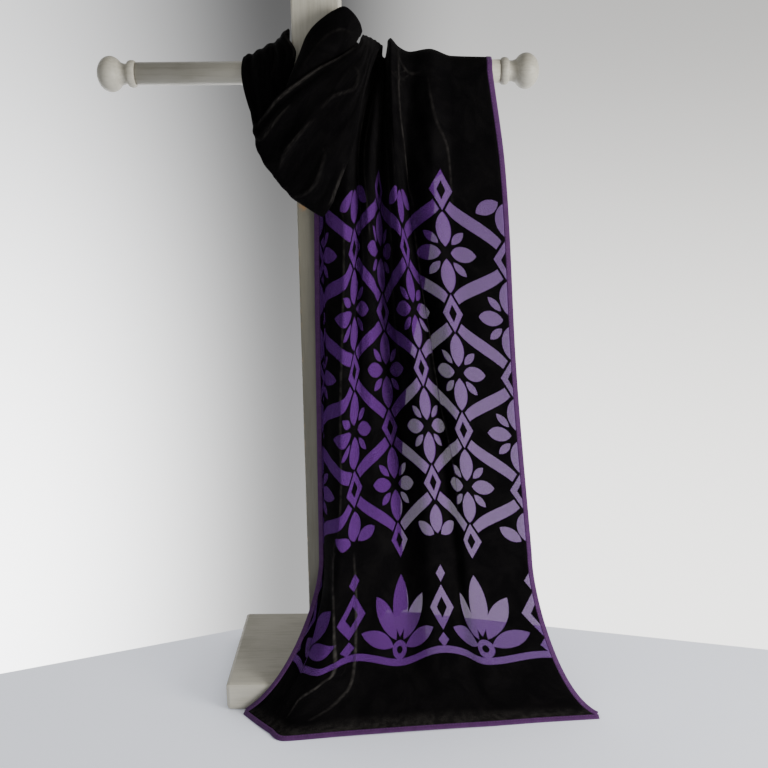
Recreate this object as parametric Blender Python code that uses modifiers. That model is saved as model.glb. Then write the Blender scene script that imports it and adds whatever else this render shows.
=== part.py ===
"""A long velvet scarf wound over the bar of a painted wooden display stand.

The stand is a slab base, a square post and a dowel with ball finials. The scarf falls in front of
the bar to the table, goes over the bar and behind the post, comes over the left of the bar as a
swag, and drops down the back. Metres, +Z up, front towards -Y, origin under the middle of the base.
"""
import math

import bmesh
import bpy
import numpy as np
from mathutils import Vector

MM = 0.001

# Stand sizes. The bar's axis is BAR_AXIS above the table, and the bar runs BAR_HALF each way.
BASE_WIDTH, BASE_DEPTH, BASE_HEIGHT = 0.219, 0.157, 0.031
BASE_ROUNDING, POST_ROUNDING = 0.004, 0.0015
POST_SIDE, POST_TOP = 0.046, 0.735
BAR_RADIUS, BAR_AXIS, BAR_HALF = 0.011, 0.655, 0.1775
BAR_SIDES, TURNED_SIDES = 32, 20
SEAT_GAP = 0.0003

# Cloth sizes
WALL = 0.0013
BINDING_WIDTH = 0.0050
BINDING_WALL = 0.0022
SEAM_GAP = 0.0003

PAINT = ("stone_paint", (0.52, 0.51, 0.45, 1.0), 0.45)
VELVET = ("black_velvet", (0.012, 0.010, 0.014, 1.0), 0.85)
BINDING = ("purple_binding", (0.12, 0.025, 0.26, 1.0), 0.6)


def start_collections():
    """Empties the file and makes the collections for the parts and for the cutters."""
    for obj in list(bpy.data.objects):
        bpy.data.objects.remove(obj)
    made = {}
    for name in ("scarf_on_stand", "cutters"):
        made[name] = bpy.data.collections.new(name)
        bpy.context.scene.collection.children.link(made[name])
    return made["scarf_on_stand"], made["cutters"]


def finish_of(kind):
    """The Principled material of a kind, made once."""
    name, colour, roughness = kind
    found = bpy.data.materials.get(name)
    if found:
        return found
    made = bpy.data.materials.new(name)
    made.use_nodes = True
    shader = made.node_tree.nodes["Principled BSDF"]
    shader.inputs["Base Color"].default_value = colour
    shader.inputs["Roughness"].default_value = roughness
    made.diffuse_color = colour
    return made


def placed(name, mesh, kind, home):
    obj = bpy.data.objects.new(name, mesh)
    home.objects.link(obj)
    if kind:
        obj.data.materials.append(finish_of(kind))
    return obj


# The stand

def block(name, size, centre, rounding, kind, home):
    """A box with rounded edges."""
    made = bmesh.new()
    bmesh.ops.create_cube(made, size=1.0)
    bmesh.ops.scale(made, vec=Vector(size), verts=made.verts)
    mesh = bpy.data.meshes.new(name)
    made.to_mesh(mesh)
    made.free()
    obj = placed(name, mesh, kind, home)
    obj.location = centre
    bevel = obj.modifiers.new("rounded_edges", "BEVEL")
    bevel.width = rounding
    bevel.segments = 2
    return obj


def rod(name, radius, half_length, kind, home):
    """A round rod along X at the bar's height."""
    made = bmesh.new()
    bmesh.ops.create_cone(made, cap_ends=True, segments=BAR_SIDES, radius1=radius, radius2=radius,
                          depth=2 * half_length)
    mesh = bpy.data.meshes.new(name)
    made.to_mesh(mesh)
    made.free()
    obj = placed(name, mesh, kind, home)
    obj.location = (0, 0, BAR_AXIS)
    obj.rotation_euler = (0, math.pi / 2, 0)
    return obj


def finial(name, side, home):
    """A collar, a short neck and a slightly flattened ball, turned about the bar's axis."""
    collar_middle, collar_half, collar_edge, collar_radius = 0.0045, 0.0040, 0.0105, 0.0130
    neck_start, neck_end, neck_radius = 0.0092, 0.0120, 0.0098
    ball_middle, ball_half, ball_radius = 0.0255, 0.0130, 0.0170
    collar_steps, ball_steps, hidden_steps = 6, 12, 3
    outline = [(0.0, 0.0)]
    for step in range(collar_steps + 1):
        angle = math.pi * (1 - step / collar_steps)
        outline.append((collar_middle + collar_half * math.cos(angle),
                        collar_edge + (collar_radius - collar_edge) * math.sin(angle)))
    outline += [(neck_start, neck_radius), (neck_end, neck_radius)]
    for step in range(hidden_steps, ball_steps):
        angle = math.pi * (1 - step / ball_steps)
        outline.append((ball_middle + ball_half * math.cos(angle), ball_radius * math.sin(angle)))
    outline.append((ball_middle + ball_half, 0.0))
    mesh = bpy.data.meshes.new(name)
    # The Screw runs about Z, and its profile runs down the outer side.
    points = [(radius, 0.0, -along) for along, radius in outline]
    mesh.from_pydata(points, [(i, i + 1) for i in range(len(points) - 1)], [])
    obj = placed(name, mesh, PAINT, home)
    turn = obj.modifiers.new("turned", "SCREW")
    turn.steps = turn.render_steps = TURNED_SIDES
    turn.use_merge_vertices = True
    turn.merge_threshold = 0.00002
    obj.location = (side * (BAR_HALF + SEAT_GAP), 0, BAR_AXIS)
    obj.rotation_euler = (0, -side * math.pi / 2, 0)
    return obj


def build_stand(home, cutters):
    block("stand_base", (BASE_WIDTH, BASE_DEPTH, BASE_HEIGHT), (0, 0, BASE_HEIGHT / 2),
          BASE_ROUNDING, PAINT, home)
    foot = BASE_HEIGHT + SEAT_GAP
    post = block("stand_post", (POST_SIDE, POST_SIDE, POST_TOP - foot),
                 (0, 0, (POST_TOP + foot) / 2), POST_ROUNDING, PAINT, home)
    bore = rod("bar_bore", BAR_RADIUS + SEAT_GAP, POST_SIDE, None, cutters)
    bore.hide_render = True
    bore.display_type = "WIRE"
    cut = post.modifiers.new("bar_bore", "BOOLEAN")
    cut.operation = "DIFFERENCE"
    cut.object = bore
    rod("stand_bar", BAR_RADIUS, BAR_HALF, PAINT, home)
    finial("finial_left", -1, home)
    finial("finial_right", 1, home)


# Cloth surfaces

def smooth_through(stations, values, at):
    """Values at the given stations joined by cubics that never overshoot a value."""
    s, v, at = (np.asarray(a, float) for a in (stations, values, at))
    gap = np.diff(s)
    slope = np.diff(v, axis=0) / gap.reshape(-1, *[1] * (v.ndim - 1))
    tangent = np.zeros_like(v)
    tangent[0], tangent[-1] = slope[0], slope[-1]
    for i in range(1, len(s) - 1):
        before, after = 2 * gap[i] + gap[i - 1], gap[i] + 2 * gap[i - 1]
        same_way = slope[i - 1] * slope[i] > 0
        safe = [np.where(same_way, side, 1.0) for side in (slope[i - 1], slope[i])]
        tangent[i] = np.where(same_way, (before + after) / (before / safe[0] + after / safe[1]), 0.0)
    i = np.clip(np.searchsorted(s, at, side="right") - 1, 0, len(gap) - 1)
    wide = (...,) + (None,) * (v.ndim - 1)
    t, h = ((at - s[i]) / gap[i])[wide], gap[i][wide]
    return ((2 * t**3 - 3 * t**2 + 1) * v[i] + (t**3 - 2 * t**2 + t) * h * tangent[i]
            + (3 * t**2 - 2 * t**3) * v[i + 1] + (t**3 - t**2) * h * tangent[i + 1])


def rounded_through(points, at):
    """A smooth curve through rows of values, read at shares of its length from 0 to 1."""
    p = np.asarray(points, float)
    padded = np.concatenate([2 * p[:1] - p[1:2], p, 2 * p[-1:] - p[-2:-1]])
    place = np.asarray(at, float) * (len(p) - 1)
    i = np.minimum(place.astype(int), len(p) - 2)
    t = (place - i).reshape(-1, *[1] * (p.ndim - 1))
    a, b, c, d = (padded[i + k] for k in range(4))
    return 0.5 * (2 * b + (c - a) * t + (2 * a - 5 * b + 4 * c - d) * t**2
                  + (3 * b - a - 3 * c + d) * t**3)


def named_columns(names, table):
    """The columns of a table of millimetres as metres, each under its name."""
    table = np.asarray(table, float)
    return {name: table[:, i] * MM for i, name in enumerate(names)}


def place_of(columns, name):
    """The points of a named edge or line, from its three columns."""
    return np.stack([columns[f"{name}_{axis}"] for axis in "xyz"], axis=1)


def sheet(name, grid, wall, kind, home):
    """A thin wall on a grid of points: rows run along the scarf, and columns across it."""
    rows, columns = grid.shape[:2]
    faces = []
    for r in range(rows - 1):
        for c in range(columns - 1):
            corner = r * columns + c
            faces.append((corner, corner + 1, corner + columns + 1, corner + columns))
    mesh = bpy.data.meshes.new(name)
    mesh.from_pydata(grid.reshape(-1, 3).tolist(), [], faces)
    obj = placed(name, mesh, kind, home)
    mesh.shade_smooth()
    shell = obj.modifiers.new("wall", "SOLIDIFY")
    shell.thickness = wall
    shell.offset = 0
    return obj


def onward(edge, inner, distance):
    """Points of an edge moved on past it, away from the next points in."""
    run = edge - inner
    return edge + run / np.linalg.norm(run, axis=-1, keepdims=True) * distance


def side_strip(grid, edge, inner):
    """A binding strip beside a side edge, from its points moved out."""
    near = onward(grid[:, edge], grid[:, inner], SEAM_GAP)
    far = onward(grid[:, edge], grid[:, inner], SEAM_GAP + BINDING_WIDTH)
    return np.stack([near, far], axis=1)


def end_strip(grid, edge, inner):
    """A binding strip past an end edge and past the side bindings beside it."""
    rows = []
    for row in (edge, inner):
        right = onward(grid[row, 0], grid[row, 1], SEAM_GAP + BINDING_WIDTH)
        left = onward(grid[row, -1], grid[row, -2], SEAM_GAP + BINDING_WIDTH)
        rows.append(np.vstack([right, grid[row], left]))
    near = onward(rows[0], rows[1], SEAM_GAP)
    far = onward(rows[0], rows[1], SEAM_GAP + BINDING_WIDTH)
    return np.stack([near, far], axis=0)


def joined_to(grid, before, reach):
    """A stretch that starts straight on from the stretch before it and eases to its own form."""
    start = onward(before[-1], before[-2], SEAM_GAP)
    heading = onward(before[-1], before[-2], 1.0) - before[-1]
    steps = np.linalg.norm(np.diff(grid, axis=0), axis=2)
    travelled = np.concatenate([np.zeros((1, grid.shape[1])), np.cumsum(steps, axis=0)])
    straight = start + heading * travelled[:, :, None]
    ease = np.clip(1 - np.arange(len(grid)) / reach, 0, 1)
    ease = (ease**2 * (3 - 2 * ease))[:, None, None]
    return straight * ease + grid * (1 - ease)


# The front fall

# One row for each fold line, from the right edge to the left: its distance along the cloth, its
# place and how far it stands off the front and the top of the bar, then its place and its depth
# at each level, all in millimetres. The foot is where the cloth bends to lie on the table, and
# the left of it rides over the base.
FALL_COLUMNS = ("along", "x_bar", "lift", "rise", "x_chest", "y_chest", "x_mid", "y_mid",
                "x_low", "y_low", "y_foot", "z_foot", "x_hem", "y_hem")
FALL_FOLDS = {
    "right_edge": (0, 164, 1.2, 1.2, 179, -14, 195, -16, 217, -22, -76, 10, 281, -95),
    "soft_valley": (50, 130, 1.8, 2.4, 131, -15, 150, -20, 168, -28, -83, 10, 215, -101),
    "wide_crest": (72, 109, 9, 9, 111, -27, 133, -27, 150, -33, -87, 10, 190, -104),
    "crease": (100, 90, 5, 6.5, 87, -12, 116, -8, 140, -27, -88, 10, 165, -107),
    "ear_back": (120, 79, 9, 11, 80, -24, 105, -24, 126, -34, -90, 10, 143, -109),
    "ear": (138, 71, 17, 19, 74, -32, 94, -34, 112, -38, -92, 10, 122, -111),
    "deep_valley": (180, 65.5, 0.9, 0.9, 61, -12, 70, -4, 86, -26, -94, 11, 80, -115),
    "inner_crest": (222, 60, 4, 4, 49, -36, 46, -38, 56, -46, -97, 12, 40, -119),
    "side_valley": (246, 53, 1, 1, 38, -27, 35, -38, 35, -52, -99, 13, 12, -122),
    "main_ridge": (274, 46, 7, 3, 27, -43, 22, -55, 14, -64, -103, 15, -42, -128),
    "flap_back": (306, 39, 19, 4, 8, -36, 0, -36, -3, -42, -101, 26, -57, -116),
    "pleat": (338, 34, 16, 3, 16, -32, 15, -31, 5, -34, -98, 32, -71, -102),
    "left_edge": (380, 29, 14.5, 2, 1, -28, -3, -27, -5, -30, -93, 36, -85, -87),
}
CHEST, MID, LOW, BEND = 0.560, 0.360, 0.150, 0.095
BEND_FORWARD = 0.012
HEM_SPREAD = 1.7
OVER_TURN = math.radians(165)
BEHIND_SHARE = 0.35
TOP_SHARE = 0.5
HEM_EASE = 4
COLUMNS_PER_FOLD = 3
FLARE_ROWS, HANG_ROWS, OVER_ROWS = 10, 9, 7
LAID = BINDING_WALL / 2


def fall_columns():
    """Each named column of the fall's table, read at every column of the cloth, in metres."""
    table = np.array(list(FALL_FOLDS.values()), float)
    along = table[:, FALL_COLUMNS.index("along")]
    at = np.concatenate([np.linspace(a, b, COLUMNS_PER_FOLD, endpoint=False)
                         for a, b in zip(along, along[1:])] + [along[-1:]])
    return named_columns(FALL_COLUMNS, smooth_through(along, table, at))


def flare_row(read, share):
    """The cloth between the low level and the hem: down, forwards over the base, and flat."""
    a, b = 1 - share, share
    y = (a**3 * read["y_low"] + 3 * a**2 * b * (read["y_low"] - BEND_FORWARD)
         + 3 * a * b**2 * read["y_foot"] + b**3 * read["y_hem"])
    z = a**3 * LOW + 3 * a**2 * b * BEND + 3 * a * b**2 * read["z_foot"] + LAID
    ease = share**HEM_SPREAD
    x = read["x_low"] * (1 - ease) + read["x_hem"] * ease
    return np.stack([x, y, z], axis=1)


def hang_row(read, height):
    """The cloth between the low level and the bar."""
    levels = (LOW + LAID, MID, CHEST, BAR_AXIS)
    x = smooth_through(levels, [read[n] for n in ("x_low", "x_mid", "x_chest", "x_bar")], [height])[0]
    bar_y = -(BAR_RADIUS + WALL / 2 + read["lift"])
    y = smooth_through(levels, [read["y_low"], read["y_mid"], read["y_chest"], bar_y], [height])[0]
    return np.stack([x, y, np.full_like(x, height)], axis=1)


def over_bar_row(read, share):
    """The cloth over the bar, with its folds closer to the bar where it goes down behind."""
    angle = share * OVER_TURN
    lifts = [read["lift"], read["rise"], BEHIND_SHARE * read["rise"]]
    lift = smooth_through((0, TOP_SHARE, 1), lifts, [share])[0]
    radius = BAR_RADIUS + WALL / 2 + np.maximum(lift, read["rise"].min())
    y = -radius * math.cos(angle)
    z = BAR_AXIS + radius * math.sin(angle)
    return np.stack([read["x_bar"], y, z], axis=1)


def front_fall_grid():
    read = fall_columns()
    rows = [flare_row(read, s) for s in np.linspace(1, 0, FLARE_ROWS)]
    rows += [hang_row(read, z) for z in np.linspace(LOW + LAID, BAR_AXIS, HANG_ROWS)[1:]]
    rows += [over_bar_row(read, s) for s in np.linspace(0, 1, OVER_ROWS)[1:]]
    return stood_on_hem(np.array(rows))


def stood_on_hem(grid):
    """The flare raised where the hem's binding slopes, so that the binding just meets the table."""
    heading = onward(grid[0], grid[1], 1.0) - grid[0]
    steep = heading[:, 2]
    lowest = (grid[0, :, 2] + steep * (SEAM_GAP + BINDING_WIDTH)
              - BINDING_WALL / 2 * np.sqrt(1 - steep**2))
    share = np.linspace(1, 0, FLARE_ROWS)**HEM_EASE
    grid[:FLARE_ROWS, :, 2] -= share[:, None] * lowest
    return grid


def build_front_fall(home, grid):
    sheet("scarf_front_fall", grid, WALL, VELVET, home)
    sheet("binding_right_edge", side_strip(grid, 0, 1), BINDING_WALL, BINDING, home)
    sheet("binding_left_edge", side_strip(grid[:1 - OVER_ROWS], -1, -2), BINDING_WALL, BINDING, home)
    sheet("binding_front_hem", end_strip(grid, 0, 1)[::-1], BINDING_WALL, BINDING, home)


# Wound stretches

# Each section runs across the scarf, from the outer edge through the middle to the inner edge.
# wave is how deep its folds are, and roll how far its edges turn back, all in millimetres.
WOUND_COLUMNS = ("outer_x", "outer_y", "outer_z", "middle_x", "middle_y", "middle_z",
                 "inner_x", "inner_y", "inner_z", "wave", "roll")


def crest_wave(across):
    """Folds across a stretch: 1 on each crest and -1 halfway between two, scaled by its height."""
    phase = np.interp(across, CRESTS, np.arange(len(CRESTS)))
    return np.cos(2 * math.pi * phase) * np.interp(across, CRESTS, CREST_HEIGHTS)


def out_from(grid):
    """The way out from a grid's surface at each point."""
    along, across = np.gradient(grid, axis=0), np.gradient(grid, axis=1)
    out = np.cross(across, along)
    return out / np.linalg.norm(out, axis=-1, keepdims=True)


def wound_grid(sections, rows, columns):
    """A wound stretch from its sections, with its folds, and its long edges rolled under."""
    table = named_columns(WOUND_COLUMNS, rounded_through(list(sections.values()), np.linspace(0, 1, rows)))
    across = np.linspace(0, 1, columns)
    outer, middle, inner = (place_of(table, name)[:, None, :] for name in ("outer", "middle", "inner"))
    handle = 2 * middle - (outer + inner) / 2
    t = across[None, :, None]
    base = (1 - t)**2 * outer + 2 * t * (1 - t) * handle + t**2 * inner
    to_edge = np.minimum(across, 1 - across)
    near_edge = np.clip(1 - to_edge / ROLL_SHARE, 0, 1)**ROLL_POWER
    height = table["wave"][:, None] * crest_wave(across) - table["roll"][:, None] * near_edge
    return base + out_from(base) * height[:, :, None]


# From the right of the bar, down and round the back of the post, to the left of the bar.
BACK_WRAP = {
    "off_bar": (164, 14, 646, 92, 18, 646, 30, 19, 646, 0, 0),
    "dropping": (158, 24, 606, 88, 30, 628, 36, 31, 636, 2, 1),
    "swinging": (124, 32, 560, 72, 36, 598, 32, 35, 634, 4, 2),
    "low_right": (76, 36, 528, 46, 38, 578, 18, 36, 631, 5, 3),
    "bottom": (24, 37, 518, 10, 39, 574, 2, 36, 632, 5.5, 3),
    "low_left": (-28, 36, 534, -21, 39, 590, -13, 36, 641, 5, 3),
    "climbing": (-63, 31, 578, -43, 36, 619, -25, 36, 656, 4, 3),
    "at_bar": (-73, 22, 634, -51, 28, 656, -31, 31, 673, 2, 1),
    "onto_bar": (-72, 13, 660, -49, 18, 673, -29, 20, 687, 1.2, 1),
}

# From over the left of the bar and down, round at the lower left, and up in front of the post to
# the bar beside it. The outer edge turns first and is the swag's upper rim.
SWAG = {
    "on_bar": (-71, 0, 670, -48, 2, 680, -28, 4, 696, 1, 0),
    "cresting": (-72, -11, 667, -48, -14, 675, -29, -19, 688, 0.8, 0),
    "over_edge": (-73, -18, 655, -46, -24, 663, -19, -32, 672, 1.2, 0),
    "left_piece": (-71, -22, 640, -46, -29, 645, -21, -33, 654, 1, 0),
    "behind_rim": (-66, -27, 622, -42, -33, 622, -19, -34, 626, 1, 0),
    "back_layer": (-61, -33, 611, -45, -38, 594, -15, -36, 585, 1.0, 0),
    "turning": (-57, -42, 605, -50, -46, 577, -7, -40, 545, 1.2, 0),
    "turned": (-49, -51, 613, -41, -55, 560, 2, -47, 519, 1.2, 0.5),
    "front_low": (-36, -58, 629, -24, -63, 577, 13, -56, 529, 1.6, 2.5),
    "front_mid": (-16, -61, 643, -3, -65, 602, 20, -60, 546, 1.8, 3.5),
    "front_high": (5, -59, 656, 16, -64, 622, 28, -60, 564, 1.6, 3.5),
    "front_top": (24, -54, 665, 33, -59, 640, 39, -57, 593, 1.2, 2.5),
    "gathering": (35, -46, 672, 44, -51, 654, 45, -50, 626, 1.2, 1.5),
    "pinched": (41, -37, 677, 48, -41, 666, 52, -40, 652, 0.6, 0.5),
    "up_to_bar": (43, -25, 684, 51, -26, 677, 58, -25, 669, 0.4, 0),
    "over_bar": (45, 0, 688, 54, 0, 685, 63, 0, 679, 0.4, 0),
    "behind_bar": (46, 24, 676, 55, 24, 674, 63, 22, 671, 0.4, 0),
    "down_behind": (45, 40, 655, 56, 39, 655, 67, 37, 655, 0.5, 0),
}
CRESTS = (0.0, 0.16, 0.40, 0.64, 0.81, 1.0)
CREST_HEIGHTS = (0.7, 1.1, 0.9, 1.1, 0.8, 0.6)
ROLL_SHARE, ROLL_POWER = 0.12, 1.5


# The loop: the slack upper part of the swag, which stands up above the bar.

# One row for each place along the swag's inner edge: the ridge and the foot behind it, and how
# far the front bellies out, in millimetres.
LOOP_COLUMNS = ("ridge_x", "ridge_y", "ridge_z", "back_x", "back_y", "back_z", "belly")
LOOP = {
    "left": (-12, -38, 673, -12, -31, 664, 2),
    "left_shoulder": (-8, -37, 683, -8, -29, 668, 4),
    "rise": (-1, -37, 692, -3, -28, 672, 6),
    "crown": (9, -37, 700, 6, -28, 676, 8),
    "high": (19, -36, 706, 16, -27, 680, 8),
    "peak": (28, -35, 709, 27, -26, 682, 7),
    "right_shoulder": (36, -33, 704, 35, -24, 684, 5),
    "right": (42, -30, 696, 40, -20, 686, 3),
    "end": (44, -28, 689, 42, -20, 685, 1),
}


LOOP_TUCK = 0.003
LOW_SHARE, HIGH_SHARE, HIGH_BELLY = 0.3, 0.7, 0.9


def loop_grid(rim, inside, rows):
    """The loop runs on from the swag's rim, up its own front, over the ridge and down behind."""
    table = rounded_through(list(LOOP.values()), np.linspace(0, 1, len(rim)))
    table = named_columns(LOOP_COLUMNS, table)
    ridge, back = place_of(table, "ridge"), place_of(table, "back")
    belly = table["belly"][:, None] * np.array([0, -1, 0])
    foot = onward(rim, inside, SEAM_GAP)
    tuck = onward(rim, inside, SEAM_GAP + LOOP_TUCK)
    low = tuck + (ridge - tuck) * LOW_SHARE + belly
    high = tuck + (ridge - tuck) * HIGH_SHARE + belly * HIGH_BELLY
    return rounded_through([foot, tuck, low, high, ridge, back], np.linspace(0, 1, rows))


# The back fall: the other end, gathered over the bar and hanging down behind.

BACK_FALL_COLUMNS = ("outer_x", "inner_x", "y", "z", "depth")
BACK_FALL = {
    "over_wrap": (42, 70, 44, 648, 0.7),
    "fanning": (30, 84, 54, 625, 2.5),
    "spread": (16, 102, 62, 585, 7),
    "widest": (2, 114, 64, 530, 11),
    "below_wrap": (-8, 104, 60, 440, 13.5),
    "mid": (-15, 84, 56, 330, 14),
    "low": (-17, 76, 54, 170, 14),
    "hem": (-17, 84, 52, 48, 13),
}


def back_fall_grid(rows, columns):
    table = smooth_through(np.linspace(0, 1, len(BACK_FALL)), list(BACK_FALL.values()),
                           np.linspace(0, 1, rows))
    read = {name: column[:, None] for name, column in named_columns(BACK_FALL_COLUMNS, table).items()}
    across = np.linspace(0, 1, columns)
    x = read["outer_x"] + (read["inner_x"] - read["outer_x"]) * across
    y = read["y"] + read["depth"] * crest_wave(across)
    return np.stack([x, y, read["z"] + np.zeros_like(x)], axis=2)


ROWS_PER_SECTION = 2
LOOP_ROWS, BACK_ROWS = 11, 13
WRAP_JOIN, BACK_JOIN = 5, 2.5
LOOP_FIRST, LOOP_LAST = 19, 28


def build_scarf(home):
    """Each stretch goes on from the end of the one before."""
    fall = front_fall_grid()
    columns = fall.shape[1]
    sections = {**BACK_WRAP, **SWAG}
    wound = wound_grid(sections, ROWS_PER_SECTION * (len(sections) - 1) + 1, columns)
    wound = joined_to(wound, fall, WRAP_JOIN)
    wrap_end = ROWS_PER_SECTION * (len(BACK_WRAP) - 1)
    wrap, swag = wound[:wrap_end + 1], wound[wrap_end:].copy()
    swag[0] = onward(wrap[-1], wrap[-2], SEAM_GAP)
    back = joined_to(back_fall_grid(BACK_ROWS, columns), swag, BACK_JOIN)
    along_rim = slice(LOOP_FIRST, LOOP_LAST + 1)
    loop = loop_grid(swag[along_rim, 0], swag[along_rim, 1], LOOP_ROWS)
    build_front_fall(home, fall)
    sheet("scarf_back_wrap", wrap, WALL, VELVET, home)
    sheet("scarf_swag", swag, WALL, VELVET, home)
    sheet("scarf_top_loop", loop, WALL, VELVET, home)
    sheet("scarf_back_fall", back, WALL, VELVET, home)
    sheet("binding_back_hem", end_strip(back, -1, -2), BINDING_WALL, BINDING, home)
    sheet("binding_back_left_edge", side_strip(back[1:], 0, 1), BINDING_WALL, BINDING, home)
    sheet("binding_back_right_edge", side_strip(back[1:], -1, -2), BINDING_WALL, BINDING, home)


def main():
    home, cutters = start_collections()
    build_stand(home, cutters)
    build_scarf(home)


main()
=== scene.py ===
# %% [markdown]
# # A velvet scarf on a painted display stand
#
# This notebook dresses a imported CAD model: a long burn-out velvet scarf, bound in purple, wound
# over the bar of a wooden stand. The CAD model is a fixed frame. The cloth is made again from the
# same few fold lines with a much finer grid, and the stand keeps its solids and gets paint.

# %% Load the frame
import functools
import math

import bmesh
import bpy
import numpy as np
from mathutils import Matrix, Vector


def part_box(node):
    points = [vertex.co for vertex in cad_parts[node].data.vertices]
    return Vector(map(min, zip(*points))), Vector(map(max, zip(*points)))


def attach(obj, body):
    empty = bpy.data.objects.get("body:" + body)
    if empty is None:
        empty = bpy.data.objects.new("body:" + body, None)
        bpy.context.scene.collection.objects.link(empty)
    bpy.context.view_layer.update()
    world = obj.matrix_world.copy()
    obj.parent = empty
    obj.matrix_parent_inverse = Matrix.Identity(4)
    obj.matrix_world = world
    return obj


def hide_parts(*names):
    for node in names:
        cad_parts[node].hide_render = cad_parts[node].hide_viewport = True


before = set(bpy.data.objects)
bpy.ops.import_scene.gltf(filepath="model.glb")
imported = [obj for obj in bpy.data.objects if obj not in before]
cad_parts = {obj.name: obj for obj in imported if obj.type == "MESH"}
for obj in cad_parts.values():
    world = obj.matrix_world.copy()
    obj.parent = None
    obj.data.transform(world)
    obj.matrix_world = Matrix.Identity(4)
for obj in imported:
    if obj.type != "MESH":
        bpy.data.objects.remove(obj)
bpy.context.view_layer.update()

MM = 0.001


def add_object(name, data):
    """An object with this data, in the scene."""
    made = bpy.data.objects.new(name, data)
    bpy.context.scene.collection.objects.link(made)
    return made


# %% [markdown]
# ## The camera
#
# The photograph looks down a little from the height of the scarf's upper third. The camera has
# a position, a downward pitch and a small roll. The last two give the three directions of its
# matrix: right, up and backwards.

# %% Place the camera
CAMERA_PLACE = (0.062, -0.9305, 0.5716)
PITCH, ROLL = math.radians(14), math.radians(0.467)
LENS = 42.19

level_right = Vector((1, 0, 0))
forward = Vector((0, math.cos(PITCH), -math.sin(PITCH)))
level_down = forward.cross(level_right)
right = level_right * math.cos(ROLL) + level_down * math.sin(ROLL)
down = level_down * math.cos(ROLL) - level_right * math.sin(ROLL)

camera = add_object("camera", bpy.data.cameras.new("camera"))
camera.data.lens = LENS
turned_so = Matrix((right, -down, -forward)).transposed().to_4x4()
camera.matrix_world = Matrix.Translation(CAMERA_PLACE) @ turned_so
bpy.context.scene.camera = camera
print("camera looks down", round(math.degrees(PITCH), 1), "degrees")

# %% [markdown]
# ## Node trees written as plain sums
#
# A pattern such as a trellis of curved bands is easiest to write as arithmetic on a point's
# place on the cloth. `Number` wraps an output in a node tree, so that `a + b` or `abs(a)` adds
# the matching Math node. The materials below use it, and stay readable.

# %% Numbers in a node tree
class Number:
    """An output in a node tree that can be added, scaled and compared like a number."""

    def __init__(self, tree, output):
        self.tree = tree
        self.output = output

    def by(self, operation, *others):
        node = self.tree.nodes.new("ShaderNodeMath")
        node.operation = operation
        for socket, value in zip(node.inputs, (self, *others)):
            plug(self.tree, socket, value)
        return Number(self.tree, node.outputs[0])

    def __add__(self, other):
        return self.by("ADD", other)

    def __sub__(self, other):
        return self.by("SUBTRACT", other)

    def __mul__(self, other):
        return self.by("MULTIPLY", other)

    def __truediv__(self, other):
        return self.by("DIVIDE", other)

    def __abs__(self):
        return self.by("ABSOLUTE")

    def __neg__(self):
        return self.by("MULTIPLY", -1.0)


def plug(tree, socket, value):
    """Links a node's output to a socket, or sets the socket to a plain value."""
    if isinstance(value, Number):
        tree.links.new(value.output, socket)
    elif isinstance(value, bpy.types.NodeSocket):
        tree.links.new(value, socket)
    else:
        socket.default_value = value


def least(*numbers):
    """The smallest of several numbers: the union of shapes given as distances."""
    return functools.reduce(lambda one, other: one.by("MINIMUM", other), numbers)


def most(*numbers):
    """The largest of several numbers: what several shapes have in common."""
    return functools.reduce(lambda one, other: one.by("MAXIMUM", other), numbers)


def add_node(tree, kind, **inputs):
    """A new node with the named inputs linked to outputs or set to plain values."""
    node = tree.nodes.new(kind)
    for name, value in inputs.items():
        plug(tree, node.inputs[name], value)
    return node


def step_between(value, low, high, low_out=0.0, high_out=1.0):
    """A smooth step from low_out to high_out as value goes from low to high."""
    ends = {"From Min": low, "From Max": high, "To Min": low_out, "To Max": high_out}
    node = add_node(value.tree, "ShaderNodeMapRange", Value=value, **ends)
    node.interpolation_type = "SMOOTHSTEP"
    return Number(value.tree, node.outputs["Result"])


def noise(tree, place, scale, detail=2.0, roughness=0.5, distortion=0.0):
    """Noise from 0 to 1 at a place, with so many grains to the metre."""
    node = add_node(tree, "ShaderNodeTexNoise", Vector=place, Scale=scale, Detail=detail,
                    Roughness=roughness, Distortion=distortion)
    return Number(tree, node.outputs["Fac"])


def blend_colours(tree, share, first, second):
    """The first colour where share is 0 and the second where it is 1."""
    node = tree.nodes.new("ShaderNodeMix")
    node.data_type = "RGBA"
    plug(tree, node.inputs["Factor"], share)
    plug(tree, node.inputs[6], first)
    plug(tree, node.inputs[7], second)
    return node.outputs[2]


def material(name):
    """A new material, its node tree and its Principled shader."""
    made = bpy.data.materials.new(name)
    made.use_nodes = True
    return made, made.node_tree, made.node_tree.nodes["Principled BSDF"]


def place_from(tree, kind, uv_map=None):
    """Where a point is: its Object coordinates, or its place on the cloth from a UV map."""
    if kind == "UV":
        node = tree.nodes.new("ShaderNodeUVMap")
        node.uv_map = uv_map
        return node.outputs["UV"]
    return tree.nodes.new("ShaderNodeTexCoord").outputs[kind]


def stretched(tree, place, scale):
    """A place with its axes scaled, so that noise on it runs into streaks."""
    return add_node(tree, "ShaderNodeMapping", Vector=place, Scale=scale).outputs["Vector"]


def parts_of(tree, place):
    """The x, y and z of a place as Numbers."""
    node = add_node(tree, "ShaderNodeSeparateXYZ", Vector=place)
    return [Number(tree, output) for output in node.outputs]


def bump(tree, shader, height, distance):
    """Relief on a shader's surface, this many metres deep."""
    node = add_node(tree, "ShaderNodeBump", Height=height, Distance=distance)
    tree.links.new(node.outputs["Normal"], shader.inputs["Normal"])
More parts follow.
